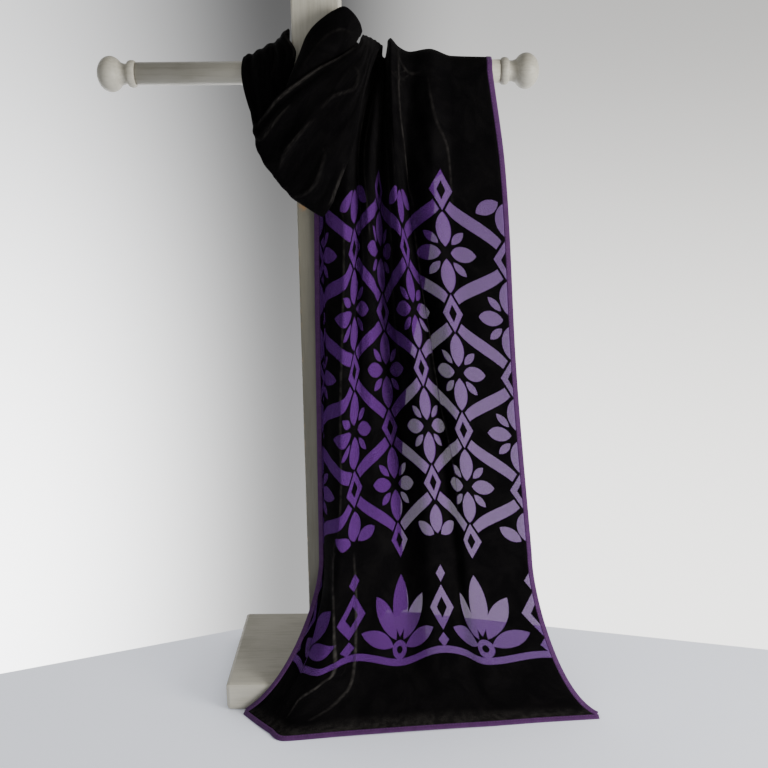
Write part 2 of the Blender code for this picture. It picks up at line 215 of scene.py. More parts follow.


# %% [markdown]
# ## Pieces
#
# Every piece here is a mesh made from points and faces. It gets an object, rides on the part's only
# body, takes its finishes, and hides the CAD nodes that it stands in for.

# %% From points to a piece
def mesh_of(name, points, faces, closed=True):
    """A mesh with smooth shading. The faces of a closed one are turned outwards."""
    mesh = bpy.data.meshes.new(name)
    mesh.from_pydata(points, [], faces)
    if closed:
        shell = bmesh.new()
        shell.from_mesh(mesh)
        bmesh.ops.recalc_face_normals(shell, faces=shell.faces)
        shell.to_mesh(mesh)
        shell.free()
    mesh.shade_smooth()
    return mesh


def lay_out(mesh, place):
    """Gives a mesh its UV map of places on the flat cloth, one for each of its points."""
    corners = np.zeros(len(mesh.loops), int)
    mesh.loops.foreach_get("vertex_index", corners)
    uv = mesh.uv_layers.new(name="cloth")
    uv.data.foreach_set("uv", place.reshape(-1, 2)[corners].ravel())


def piece_of(name, mesh, finishes, nodes):
    """An object on the part's body, with its finishes and the CAD nodes it replaces."""
    for finish in finishes:
        mesh.materials.append(finish)
    piece = add_object(name, mesh)
    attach(piece, "root")
    if nodes:
        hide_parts(*nodes)
    return piece


# %% [markdown]
# ## Satin paint on the stand
#
# The stand is plain wood under a thin coat of warm off-white satin paint. Long, faint streaks
# show where the grain lies and where the brush went, and the paint is a little darker in
# places. The streaks come from noise stretched along the wood. The corners of the base and the
# post are knocked, and a little bare wood shows there: a point is on a corner where two of its
# three distances to the box's faces are almost nothing.

# %% Paint
PAINT_PALE = (0.46, 0.44, 0.37, 1)
PAINT_WORN = (0.34, 0.32, 0.255, 1)
BARE_WOOD = (0.26, 0.195, 0.115, 1)
WORN_BACK, WORN_FADE = 0.0030, 0.0003


def satin_paint(name, along, wear=None):
    """Off-white paint with its grain along the named axis, and wear that changes its colour."""
    made, tree, shader = material(name)
    place = place_from(tree, "Object")
    grain_scale = [1.0, 1.0, 1.0]
    grain_scale["XYZ".index(along)] = 0.06
    grain = noise(tree, stretched(tree, place, grain_scale), 420, detail=5, roughness=0.6)
    patches = noise(tree, place, 26, detail=3)
    rubbed = step_between(patches * 0.45 + grain * 0.55, 0.42, 0.72)
    colour = blend_colours(tree, rubbed, PAINT_PALE, PAINT_WORN)
    if wear:
        colour = wear(tree, place, colour)
    tree.links.new(colour, shader.inputs["Base Color"])
    plug(tree, shader.inputs["Roughness"], step_between(grain, 0.3, 0.7, 0.42, 0.58))
    bump(tree, shader, grain, 0.00025)
    return made


def knocked_corners(tree, place, colour, node):
    """A colour with bare wood at the corners, from a point's distances to a node's box."""
    low, high = (Vector(corner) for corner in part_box(node))
    middle, half = (low + high) / 2, (high - low) / 2
    x, y, z = [abs(part - middle[i]) - half[i] for i, part in enumerate(parts_of(tree, place))]
    on_corner = step_between(most(least(x, y), least(most(x, y), z)), -WORN_BACK, -WORN_FADE)
    chips = noise(tree, place, 95, detail=4, roughness=0.7)
    bare = on_corner * step_between(chips, 0.50, 0.66, 0.0, 0.75)
    return blend_colours(tree, bare, colour, BARE_WOOD)


def worn_base(tree, place, colour):
    return knocked_corners(tree, place, colour, "stand_base")


paint_across = satin_paint("paint_across", "X")
paint_base = satin_paint("paint_base", "X", worn_base)
print("paint finishes", paint_across.name, paint_base.name)

# %% [markdown]
# The post is darker and yellower below the bar, in uneven streaks. Part of that is rubbing by the
# cloth, and part is painted shade, for the shadow that the scarf throws on the post. It also has
# one small orange-brown stain where a knot or a drop of rust came through: the distance to its
# middle, roughened by noise.

# %% The post's stain, and its painted shade below the bar
STAIN_MIDDLE = (-0.0165, -0.0235, 0.527)
STAIN_RADIUS, STAIN_RAGGED = 0.0055, 0.006
STAIN = (0.32, 0.17, 0.055, 1)
# Below the bar the paint darkens, as rubbing and as painted shade of the scarf: full at the lower height,
# gone at the upper, in this colour.
RUBBED_SHADE_TOP, RUBBED_SHADE_FULL = 0.640, 0.560
PAINT_RUBBED_AND_SHADED = (0.118, 0.110, 0.078, 1)


def worn_and_shaded_post(tree, place, colour):
    """The post's colour: rubbed and with painted shade below the bar, knocked at its corners, and stained.
    """
    streaks = noise(tree, stretched(tree, place, (1.0, 1.0, 0.15)), 60, detail=3) * 0.3 + 0.73
    # Painted shade, with rubbing: the post darkens in streaks below the bar, where the scarf shades it.
    rubbed_shade = step_between(parts_of(tree, place)[2], RUBBED_SHADE_FULL, RUBBED_SHADE_TOP, 1.0, 0.0) * streaks
    colour = blend_colours(tree, rubbed_shade, colour, PAINT_RUBBED_AND_SHADED)
    colour = knocked_corners(tree, place, colour, "stand_post")
    to_stain = tree.nodes.new("ShaderNodeVectorMath")
    to_stain.operation = "DISTANCE"
    plug(tree, to_stain.inputs[0], place)
    plug(tree, to_stain.inputs[1], STAIN_MIDDLE)
    ragged = noise(tree, place, 260, detail=3) * STAIN_RAGGED
    stained = step_between(Number(tree, to_stain.outputs["Value"]) + ragged,
                           STAIN_RADIUS * 0.5, STAIN_RADIUS * 1.7, 0.8, 0.0)
    return blend_colours(tree, stained, colour, STAIN)


paint_post = satin_paint("paint_post", "Z", worn_and_shaded_post)
print("stain radius", STAIN_RADIUS / MM, "mm")


# %% Paint the solids that stay
def repaint(node, finish):
    """A CAD node with its form kept and a better finish."""
    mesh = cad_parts[node].data
    mesh.materials.clear()
    mesh.materials.append(finish)


repaint("stand_base", paint_base)
repaint("stand_post", paint_post)

# %% [markdown]
# ## Turned wood
#
# The bar is a dowel with a ball finial at each end. Both are turned on a lathe, so each is one
# outline spun about the bar's axis. The CAD solids have few sides, and these have many, so
# that the light runs round them smoothly.

# %% Spin an outline about the bar
BAR_RADIUS, BAR_AXIS, BAR_HALF = 0.011, 0.655, 0.1775
SEAT_GAP = 0.0003
TURNED_SIDES = 96


def turned(name, outline, start, side, nodes):
    """A closed outline of (distance along the bar, radius) spun about the bar's axis."""
    angles = np.linspace(0, 2 * math.pi, TURNED_SIDES, endpoint=False)
    rings = [(start + side * along, radius) for along, radius in outline]
    points = [(x, radius * math.cos(a), BAR_AXIS + radius * math.sin(a))
              for x, radius in rings[1:-1] for a in angles]
    first, last, end = len(points), len(points) + 1, len(points) - TURNED_SIDES
    points += [(rings[0][0], 0, BAR_AXIS), (rings[-1][0], 0, BAR_AXIS)]
    around = [(i, (i + 1) % TURNED_SIDES) for i in range(TURNED_SIDES)]
    faces = [(a + i, a + j, a + TURNED_SIDES + j, a + TURNED_SIDES + i)
             for a in range(0, end, TURNED_SIDES) for i, j in around]
    for i, j in around:
        faces += [(first, j, i), (last, end + i, end + j)]
    return piece_of(name, mesh_of(name, points, faces), [paint_across], nodes)


def rounded_run(middle, half, edge, radius, steps, first=0):
    """Points over a bead or a ball: from edge up to radius and back down to edge."""
    shares = [math.pi * (1 - step / steps) for step in range(first, steps + 1)]
    return [(middle + half * math.cos(a), edge + (radius - edge) * math.sin(a)) for a in shares]


# %% Bar and finials
COLLAR = dict(middle=0.0045, half=0.0040, edge=0.0105, radius=0.0130, steps=14)
BALL = dict(middle=0.0255, half=0.0130, edge=0.0, radius=0.0170, steps=40, first=9)
NECK_RADIUS, NECK_START, NECK_END = 0.0098, 0.0092, 0.0122

finial_outline = [(0.0, 0.0), (0.0, NECK_RADIUS)] + rounded_run(**COLLAR)
finial_outline += [(NECK_START, NECK_RADIUS), (NECK_END, NECK_RADIUS)] + rounded_run(**BALL)
bar_outline = [(-BAR_HALF, 0.0), (-BAR_HALF, BAR_RADIUS), (BAR_HALF, BAR_RADIUS), (BAR_HALF, 0.0)]
for side, word in ((-1, "left"), (1, "right")):
    turned(f"turned_finial_{word}", finial_outline, side * (BAR_HALF + SEAT_GAP), side, [f"finial_{word}"])
turned("turned_bar", bar_outline, 0.0, 1, ["stand_bar"])
print("turned pieces with", TURNED_SIDES, "sides")

# %% [markdown]
# ## Curves through a table
#
# Each stretch of the scarf is drawn through a short table of places, as a dressmaker would pin
# a few points and let the cloth fall between them. One helper never overshoots a value, and
# suits folds and levels. The other runs smoothly through every point, and suits the winding.

# %% Smooth curves
def smooth_through(stations, values, at):
    """Values at the given stations joined by cubics that never overshoot a value."""
    s, v, at = (np.asarray(a, float) for a in (stations, values, at))
    gap = np.diff(s)
    slope = np.diff(v, axis=0) / gap.reshape(-1, *[1] * (v.ndim - 1))
    tangent = np.zeros_like(v)
    tangent[0], tangent[-1] = slope[0], slope[-1]
    for i in range(1, len(s) - 1):
        before, after = 2 * gap[i] + gap[i - 1], gap[i] + 2 * gap[i - 1]
        same_way = slope[i - 1] * slope[i] > 0
        safe = [np.where(same_way, side, 1.0) for side in (slope[i - 1], slope[i])]
        tangent[i] = np.where(same_way, (before + after) / (before / safe[0] + after / safe[1]), 0.0)
    i = np.clip(np.searchsorted(s, at, side="right") - 1, 0, len(gap) - 1)
    wide = (...,) + (None,) * (v.ndim - 1)
    t, h = ((at - s[i]) / gap[i])[wide], gap[i][wide]
    return ((2 * t**3 - 3 * t**2 + 1) * v[i] + (t**3 - 2 * t**2 + t) * h * tangent[i]
            + (3 * t**2 - 2 * t**3) * v[i + 1] + (t**3 - t**2) * h * tangent[i + 1])


def rounded_through(points, at):
    """A smooth curve through rows of values, read at shares of its length from 0 to 1."""
    p = np.asarray(points, float)
    padded = np.concatenate([2 * p[:1] - p[1:2], p, 2 * p[-1:] - p[-2:-1]])
    place = np.asarray(at, float) * (len(p) - 1)
    i = np.minimum(place.astype(int), len(p) - 2)
    t = (place - i).reshape(-1, *[1] * (p.ndim - 1))
    a, b, c, d = (padded[i + k] for k in range(4))
    return 0.5 * (2 * b + (c - a) * t + (2 * a - 5 * b + 4 * c - d) * t**2
                  + (3 * b - a - 3 * c + d) * t**3)


def named_columns(names, table):
    """The columns of a table of millimetres as metres, each under its name."""
    table = np.asarray(table, float)
    return {name: table[:, i] * MM for i, name in enumerate(names)}


def place_of(columns, name):
    """The points of a named edge or line, from its three columns."""
    return np.stack([columns[f"{name}_{axis}"] for axis in "xyz"], axis=1)


def unit(vectors):
    return vectors / np.maximum(np.linalg.norm(vectors, axis=-1, keepdims=True), 1e-9)


def travelled(rows):
    """How far each point is along its line, for one line or for the columns of a grid."""
    steps = np.linalg.norm(np.diff(rows, axis=0), axis=-1)
    return np.concatenate([np.zeros_like(steps[:1]), np.cumsum(steps, axis=0)])


def onward(edge, inner, distance):
    """Points of an edge moved on past it, away from the next points in."""
    return edge + unit(edge - inner) * distance


def out_from(grid):
    """The way out from a grid's surface at each point."""
    along, across = np.gradient(grid, axis=0), np.gradient(grid, axis=1)
    return unit(np.cross(across, along))


# %% [markdown]
# ## Creases
#
# Real velvet never hangs in even waves. After the large folds are in place, single creases are
# laid on one by one: each is a line on the cloth with a width and a height, and it fades out
# at both ends. A positive height is a ridge and a negative one a trough. Along a sharp crease
# the pile parts and the ridge catches the light, and that pale line is painted in as a painted
# highlight, so each crease also says how strongly it shows. The sheet keeps that in one attribute,
# and the distance to the crease in another, with a minus on one side: such a distance stays exact
# between the points of the grid, so the line can be thin.

# %% Lay a crease on the cloth
def near_crease(points, path, up):
    """Each point's distance from a path, negative on one side, and a fade to 0 at the path's ends."""
    points, path = (np.pad(a, [(0, 0)] * (a.ndim - 1) + [(0, 3 - a.shape[-1])]) for a in (points, path))
    lengths = np.linalg.norm(np.diff(path, axis=0), axis=1)
    reached = np.concatenate([[0], np.cumsum(lengths)])
    nearest = np.full(points.shape[:-1], np.inf)
    side, share = np.ones_like(nearest), np.zeros_like(nearest)
    for start, end, length, before in zip(path, path[1:], lengths, reached):
        step = end - start
        along = np.clip(((points - start) @ step) / length**2, 0, 1)
        away_from = points - (start + along[..., None] * step)
        distance = np.linalg.norm(away_from, axis=-1)
        closer = distance < nearest
        nearest = np.where(closer, distance, nearest)
        share = np.where(closer, (before + along * length) / reached[-1], share)
        side = np.where(closer, np.where((np.cross(step, away_from) * up).sum(-1) < 0, -1.0, 1.0), side)
    return nearest * side, np.sin(np.pi * np.clip(share, 0, 1)).clip(0)**0.6


# How far a crease's painted highlight reaches to each side.
HIGHLIGHT_REACH = 0.006
CURVE_STEPS = 5


def lay_creases(grid, creases, place_on, line_of, facing):
    """The grid with its creases, and each point's distance from a crease and its painted highlight there.
    """
    out = out_from(grid)
    up = out if place_on.shape[-1] == 3 else np.array([0.0, 0.0, 1.0])
    height, highlight = np.zeros(grid.shape[:2]), np.zeros(grid.shape[:2])
    offset = np.ones(grid.shape[:2])
    for path, width, tall, shine in creases.values():
        curve = rounded_through(path, np.linspace(0, 1, CURVE_STEPS * len(path)))
        distance, fade = near_crease(place_on, line_of(curve), up)
        height += tall * MM * fade * np.exp(-(distance / (width * MM))**2)
        # The painted highlight: pale pile along the nearest crease, for the light that its ridge catches.
        if shine:
            closer = abs(distance) < abs(offset)
            offset = np.where(closer, distance, offset)
            highlight = np.where(closer, shine * fade * np.exp(-(distance / HIGHLIGHT_REACH)**2), highlight)
    return grid + facing * out * height[..., None], np.stack([offset, highlight], axis=-1)


def on_grid(grid, row, column):
    """The point at a fractional row and column of a grid."""
    r, c = int(min(row, len(grid) - 2)), int(min(column, grid.shape[1] - 2))
    a, b = row - r, column - c
    return ((1 - a) * ((1 - b) * grid[r, c] + b * grid[r, c + 1])
            + a * ((1 - b) * grid[r + 1, c] + b * grid[r + 1, c + 1]))


# %% [markdown]
# ## The front fall
#
# The long end falls in front of the bar to the table. One row of the table is one fold line,
# from the right edge to the left: how far along the cloth it is, how far it stands off the
# bar, and where it goes at each level down to the hem. Between the lines the cloth is smooth.

# %% Fold lines of the front fall
WALL = 0.0013
BINDING_WIDTH, BINDING_WALL = 0.0050, 0.0022
SEAM_GAP = 0.0003
FALL_COLUMNS = ("along", "x_bar", "lift", "rise", "x_chest", "y_chest", "x_mid", "y_mid",
                "x_low", "y_low", "y_foot", "z_foot", "x_hem", "y_hem")
FALL_FOLDS = {
    "right_edge": (0, 164, 1.2, 1.2, 179, -14, 195, -16, 217, -22, -76, 10, 281, -95),
    "soft_valley": (50, 130, 1.8, 2.4, 131, -15, 150, -20, 168, -28, -83, 10, 215, -101),
    "wide_crest": (72, 109, 9, 9, 111, -27, 133, -27, 150, -33, -87, 10, 190, -104),
    "crease": (100, 90, 5, 6.5, 87, -12, 116, -8, 140, -27, -88, 10, 165, -107),
    "ear_back": (120, 79, 9, 11, 80, -24, 105, -24, 126, -34, -90, 10, 143, -109),
    "ear": (138, 71, 17, 19, 74, -32, 94, -34, 112, -38, -92, 10, 122, -111),
    "deep_valley": (180, 65.5, 0.9, 0.9, 61, -12, 70, -4, 86, -26, -94, 11, 80, -115),
    "inner_crest": (222, 60, 4, 4, 49, -36, 46, -38, 56, -46, -97, 12, 40, -119),
    "side_valley": (246, 53, 1, 1, 38, -27, 35, -38, 35, -52, -99, 13, 12, -122),
    "main_ridge": (274, 46, 7, 3, 27, -43, 22, -55, 14, -64, -103, 15, -42, -128),
    "flap_back": (306, 39, 19, 4, 8, -36, 0, -36, -3, -42, -101, 26, -57, -116),
    "pleat": (338, 34, 16, 3, 16, -32, 15, -31, 5, -34, -98, 32, -71, -102),
    "left_edge": (380, 29, 14.5, 2, 1, -28, -3, -27, -5, -30, -93, 36, -85, -87),
}
CHEST, MID, LOW, BEND = 0.560, 0.360, 0.150, 0.095
BEND_FORWARD = 0.012
HEM_SPREAD = 1.7
OVER_TURN = math.radians(165)
BEHIND_SHARE = 0.35
TOP_SHARE = 0.5
HEM_EASE = 4
LAID = BINDING_WALL / 2

# %% Rows of the front fall
FALL_COLUMNS_PER_FOLD = 14
FLARE_ROWS, HANG_ROWS, OVER_ROWS = 70, 130, 40


def fall_columns():
    """Each named column of the fall's table, read at every column of the cloth, in metres."""
    table = np.array(list(FALL_FOLDS.values()), float)
    along = table[:, FALL_COLUMNS.index("along")]
    at = np.concatenate([np.linspace(a, b, FALL_COLUMNS_PER_FOLD, endpoint=False)
                         for a, b in zip(along, along[1:])] + [along[-1:]])
    return named_columns(FALL_COLUMNS, smooth_through(along, table, at))


def flare_row(read, share):
    """The cloth between the low level and the hem: down, forwards over the base, and flat."""
    a, b = 1 - share, share
    y = (a**3 * read["y_low"] + 3 * a**2 * b * (read["y_low"] - BEND_FORWARD)
         + 3 * a * b**2 * read["y_foot"] + b**3 * read["y_hem"])
    z = a**3 * LOW + 3 * a**2 * b * BEND + 3 * a * b**2 * read["z_foot"] + LAID
    ease = share**HEM_SPREAD
    x = read["x_low"] * (1 - ease) + read["x_hem"] * ease
    return np.stack([x, y, z], axis=1)


def hang_row(read, height):
    """The cloth between the low level and the bar."""
    levels = (LOW + LAID, MID, CHEST, BAR_AXIS)
    x = smooth_through(levels, [read[n] for n in ("x_low", "x_mid", "x_chest", "x_bar")], [height])[0]
    bar_y = -(BAR_RADIUS + WALL / 2 + read["lift"])
    y = smooth_through(levels, [read["y_low"], read["y_mid"], read["y_chest"], bar_y], [height])[0]
    return np.stack([x, y, np.full_like(x, height)], axis=1)


def over_bar_row(read, share):
    """The cloth over the bar, with its folds closer to the bar where it goes down behind."""
    angle = share * OVER_TURN
    lifts = [read["lift"], read["rise"], BEHIND_SHARE * read["rise"]]
    lift = smooth_through((0, TOP_SHARE, 1), lifts, [share])[0]
    radius = BAR_RADIUS + WALL / 2 + np.maximum(lift, read["rise"].min())
    y = -radius * math.cos(angle)
    z = BAR_AXIS + radius * math.sin(angle)
    return np.stack([read["x_bar"], y, z], axis=1)


def stood_on_hem(grid):
    """The flare raised where the hem's binding slopes, so that the binding just meets the table."""
    heading = onward(grid[0], grid[1], 1.0) - grid[0]
    steep = heading[:, 2]
    lowest = (grid[0, :, 2] + steep * (SEAM_GAP + BINDING_WIDTH)
              - BINDING_WALL / 2 * np.sqrt(1 - steep**2))
    share = np.linspace(1, 0, FLARE_ROWS)**HEM_EASE
    grid[:FLARE_ROWS, :, 2] -= share[:, None] * lowest
    return grid


folds = fall_columns()
fall_rows = [flare_row(folds, share) for share in np.linspace(1, 0, FLARE_ROWS)]
fall_rows += [hang_row(folds, z) for z in np.linspace(LOW + LAID, BAR_AXIS, HANG_ROWS)[1:]]
fall_rows += [over_bar_row(folds, share) for share in np.linspace(0, 1, OVER_ROWS)[1:]]
fall, fall_across = stood_on_hem(np.array(fall_rows)), folds["along"]
print("front fall grid", fall.shape[:2])


# %% Place on the cloth
def cloth_place(grid, across, start):
    """How far across and along the cloth each point is, in metres of flat cloth."""
    along = start + travelled(grid)
    return np.stack([np.broadcast_to(across, along.shape), along], axis=-1)


fall_place = cloth_place(fall, fall_across, 0.0)
fall_length = fall_place[-1, :, 1].mean()
print("front fall is", round(fall_length, 3), "m long")

# %% [markdown]
# The creases of the front fall are written in millimetres of cloth: across from the right edge,
# and up from the hem. The sharp one down the middle, the pair over the left foot and the ridges
# that come down from the bar are plain to see. A few softer ones lie where the cloth is
# nearly flat.

# %% Creases of the front fall
FALL_CREASES = {
    "left_ridge": ([(285, 560), (275, 525), (278, 365), (275, 260), (280, 200)], 3.6, 1.6, 0.6),
    "flap": ([(282, 215), (282, 160), (262, 75), (270, 60), (290, 40), (294, 16)], 2.8, 1.7, 1.0),
    "second_flap": ([(255, 190), (245, 65), (253, 35), (266, 18)], 2.8, 1.3, 0.85),
    "middle": ([(98, 560), (95, 505), (105, 390), (88, 305), (81, 260), (85, 215)], 2.6, 2.2, 0.9),
    "shoulder": ([(122, 700), (124, 650), (115, 610), (95, 565), (92, 540)], 3.6, 2.2, 0.45),
    "second_shoulder": ([(76, 675), (68, 635), (55, 605), (50, 545)], 4.0, 1.7, 0.3),
    "shoulder_dip": ([(98, 690), (94, 650), (82, 610), (74, 570)], 6.0, -1.6, 0),
    "bar_crumple": ([(128, 690), (112, 681), (84, 678)], 3.0, 1.0, 0.3),
    "bar_crumple_low": ([(140, 672), (126, 668), (108, 671)], 3.0, 0.8, 0.2),
    "chest_ridge": ([(246, 660), (250, 612), (232, 500), (238, 450)], 3.2, 1.4, 0.35),
    "chest_ridge_right": ([(230, 655), (232, 590), (216, 505)], 3.0, 1.2, 0.45),
    "chest_dip": ([(200, 610), (198, 560), (206, 380)], 6.0, -1.4, 0),
    "valley_ridge": ([(166, 640), (152, 560), (164, 430), (160, 360)], 4.4, 1.4, 0.35),
    "ear_dip": ([(148, 650), (138, 600), (128, 500)], 5.0, -1.2, 0),
    "left_valley": ([(306, 570), (300, 500), (303, 400), (296, 300), (300, 230)], 7.0, -2.6, 0),
    "inner_valley": ([(246, 600), (240, 520), (244, 420), (236, 320)], 6.0, -2.2, 0),
    "edge_roll": ([(352, 540), (346, 470), (354, 400), (348, 330)], 5.0, 1.6, 0.3),
    "long_soft": ([(36, 560), (30, 470), (42, 380), (34, 290)], 14.0, 1.1, 0),
    "long_soft_left": ([(120, 330), (134, 270), (140, 120)], 14.0, 1.2, 0),
    "low_soft": ([(196, 250), (188, 190), (206, 130), (200, 70)], 12.0, -1.4, 0),
    "low_right": ([(60, 230), (52, 170), (58, 60)], 14.0, 1.2, 0),
    "foot_wave": ([(40, 96), (110, 84), (236, 84)], 12.0, -1.2, 0),
    "foot_ridge": ([(30, 60), (90, 50), (214, 48)], 10.0, 0.9, 0),
    "over_bar": ([(60, 760), (66, 735), (58, 712)], 5.0, 1.2, 0.2),
    "over_bar_left": ([(150, 745), (146, 728), (150, 708)], 4.0, 1.0, 0.25),
}


def in_millimetres(path):
    return np.array(path, float) * MM


fall, fall_highlights = lay_creases(fall, FALL_CREASES, fall_place, in_millimetres, -1)
print(len(FALL_CREASES), "creases on the front fall")

# %% [markdown]
# ## The wound stretches
#
# Behind the post the scarf is gathered into a rope of folds, comes over the left of the bar,
# turns on itself and goes back up to the bar as a swag. Each section runs across the scarf,
# from the edge that is the upper rim of the swag, through the middle, to the lower edge.

# %% Sections of the wound scarf
WOUND_COLUMNS = ("outer_x", "outer_y", "outer_z", "middle_x", "middle_y", "middle_z",
                 "inner_x", "inner_y", "inner_z", "wave", "roll")
BACK_WRAP = {
    "off_bar": (164, 14, 646, 92, 18, 646, 30, 19, 646, 0, 0),
    "dropping": (158, 24, 606, 88, 30, 628, 36, 31, 636, 2, 1),
    "swinging": (124, 32, 560, 72, 36, 598, 32, 35, 634, 4, 2),
    "low_right": (76, 36, 528, 46, 38, 578, 18, 36, 631, 5, 3),
    "bottom": (24, 37, 518, 10, 39, 574, 2, 36, 632, 5.5, 3),
    "low_left": (-28, 36, 534, -21, 39, 590, -13, 36, 641, 5, 3),
    "climbing": (-63, 31, 578, -43, 36, 619, -25, 36, 656, 4, 3),
    "at_bar": (-73, 22, 634, -51, 28, 656, -31, 31, 673, 2, 1),
    "onto_bar": (-72, 13, 660, -49, 18, 673, -29, 20, 687, 1.2, 1),
}
SWAG = {
    "on_bar": (-71, 0, 670, -48, 2, 680, -28, 4, 696, 1, 0),
    "cresting": (-72, -11, 667, -48, -14, 675, -29, -19, 688, 0.8, 0),
    "over_edge": (-73, -18, 655, -46, -24, 663, -19, -32, 672, 1.2, 0),
    "left_piece": (-71, -22, 640, -46, -29, 645, -21, -33, 654, 1, 0),
    "behind_rim": (-66, -27, 622, -42, -33, 622, -19, -34, 626, 1, 0),
    "back_layer": (-61, -33, 611, -45, -38, 594, -15, -36, 585, 1.0, 0),
    "turning": (-57, -42, 605, -50, -46, 577, -7, -40, 545, 1.2, 0),
    "turned": (-49, -51, 613, -41, -55, 560, 2, -47, 519, 1.2, 0.5),
    "front_low": (-36, -58, 629, -24, -63, 577, 13, -56, 529, 1.6, 2.5),
    "front_mid": (-16, -61, 643, -3, -65, 602, 20, -60, 546, 1.8, 3.5),
    "front_high": (5, -59, 656, 16, -64, 622, 28, -60, 564, 1.6, 3.5),
    "front_top": (24, -54, 665, 33, -59, 640, 39, -57, 593, 1.2, 2.5),
    "gathering": (35, -46, 672, 44, -51, 654, 45, -50, 626, 1.2, 1.5),
    "pinched": (41, -37, 677, 48, -41, 666, 52, -40, 652, 0.6, 0.5),
    "up_to_bar": (43, -25, 684, 51, -26, 677, 58, -25, 669, 0.4, 0),
    "over_bar": (45, 0, 688, 54, 0, 685, 63, 0, 679, 0.4, 0),
    "behind_bar": (46, 24, 676, 55, 24, 674, 63, 22, 671, 0.4, 0),
    "down_behind": (45, 40, 655, 56, 39, 655, 67, 37, 655, 0.5, 0),
}
CRESTS = (0.0, 0.16, 0.40, 0.64, 0.81, 1.0)
CREST_HEIGHTS = (0.7, 1.1, 0.9, 1.1, 0.8, 0.6)
ROLL_SHARE, ROLL_POWER = 0.12, 1.5
WRAP_JOIN, BACK_JOIN = 5, 2.5
CAD_ROWS_PER_SECTION, CAD_BACK_ROWS = 2, 13


def crest_wave(across):
    """Folds across a stretch: 1 on each crest and -1 halfway between two, scaled by its height."""
    phase = np.interp(across, CRESTS, np.arange(len(CRESTS)))
    return np.cos(2 * math.pi * phase) * np.interp(across, CRESTS, CREST_HEIGHTS)


def wound_grid(sections, rows, columns, wave_share):
    """A wound stretch from its sections, with its folds, and its long edges rolled under."""
    table = named_columns(WOUND_COLUMNS, rounded_through(list(sections.values()), np.linspace(0, 1, rows)))
    across = np.linspace(0, 1, columns)
    outer, middle, inner = (place_of(table, name)[:, None, :] for name in ("outer", "middle", "inner"))
    handle = 2 * middle - (outer + inner) / 2
    t = across[None, :, None]
    base = (1 - t)**2 * outer + 2 * t * (1 - t) * handle + t**2 * inner
    to_edge = np.minimum(across, 1 - across)
    near_edge = np.clip(1 - to_edge / ROLL_SHARE, 0, 1)**ROLL_POWER
    wave = (table["wave"] * wave_share)[:, None] * crest_wave(across)
    height = wave - table["roll"][:, None] * near_edge
    return base + out_from(base) * height[:, :, None]


def joined_to(grid, before, reach):
    """A stretch that starts straight on from the stretch before it and eases to its own form."""
    start = onward(before[-1], before[-2], SEAM_GAP)
    heading = onward(before[-1], before[-2], 1.0) - before[-1]
    straight = start + heading * travelled(grid)[:, :, None]
    ease = np.clip(1 - np.arange(len(grid)) / reach, 0, 1)
    ease = (ease**2 * (3 - 2 * ease))[:, None, None]
    return straight * ease + grid * (1 - ease)


# %% Wind the scarf
ROWS_PER_SECTION = 12
sections = {**BACK_WRAP, **SWAG}
finer = ROWS_PER_SECTION / CAD_ROWS_PER_SECTION
all_rows = ROWS_PER_SECTION * (len(sections) - 1) + 1
wave_share = np.interp(np.linspace(0, len(sections) - 1, all_rows),
                       [0, len(BACK_WRAP), len(BACK_WRAP) + 6, len(sections) - 6, len(sections) - 1],
                       [1, 1, 0.25, 0.4, 1])
wound = wound_grid(sections, all_rows, fall.shape[1], wave_share)
wound = joined_to(wound, fall, WRAP_JOIN * finer)
wrap_end = ROWS_PER_SECTION * (len(BACK_WRAP) - 1)
wrap = wound[:wrap_end + 1]
swag = wound[wrap_end:].copy()
swag[0] = onward(wrap[-1], wrap[-2], SEAM_GAP)
wrap_place = cloth_place(wrap, fall_across, fall_length)
wrap_length = wrap_place[-1, :, 1].mean() - fall_length
swag_place = cloth_place(swag, fall_across, fall_length + wrap_length)
swag_length = swag_place[-1, :, 1].mean() - fall_length - wrap_length
print("wrap", wrap.shape[:2], round(wrap_length, 3), "m, swag", swag.shape[:2], round(swag_length, 3), "m")

# %% [markdown]
# The swag's folds run from its turned left end up to where it is pinched at the bar. They are
# written as (section, share across), where section 7 is the turn and 13 the pinch, and each
# has its own width and height, so that no two are alike.

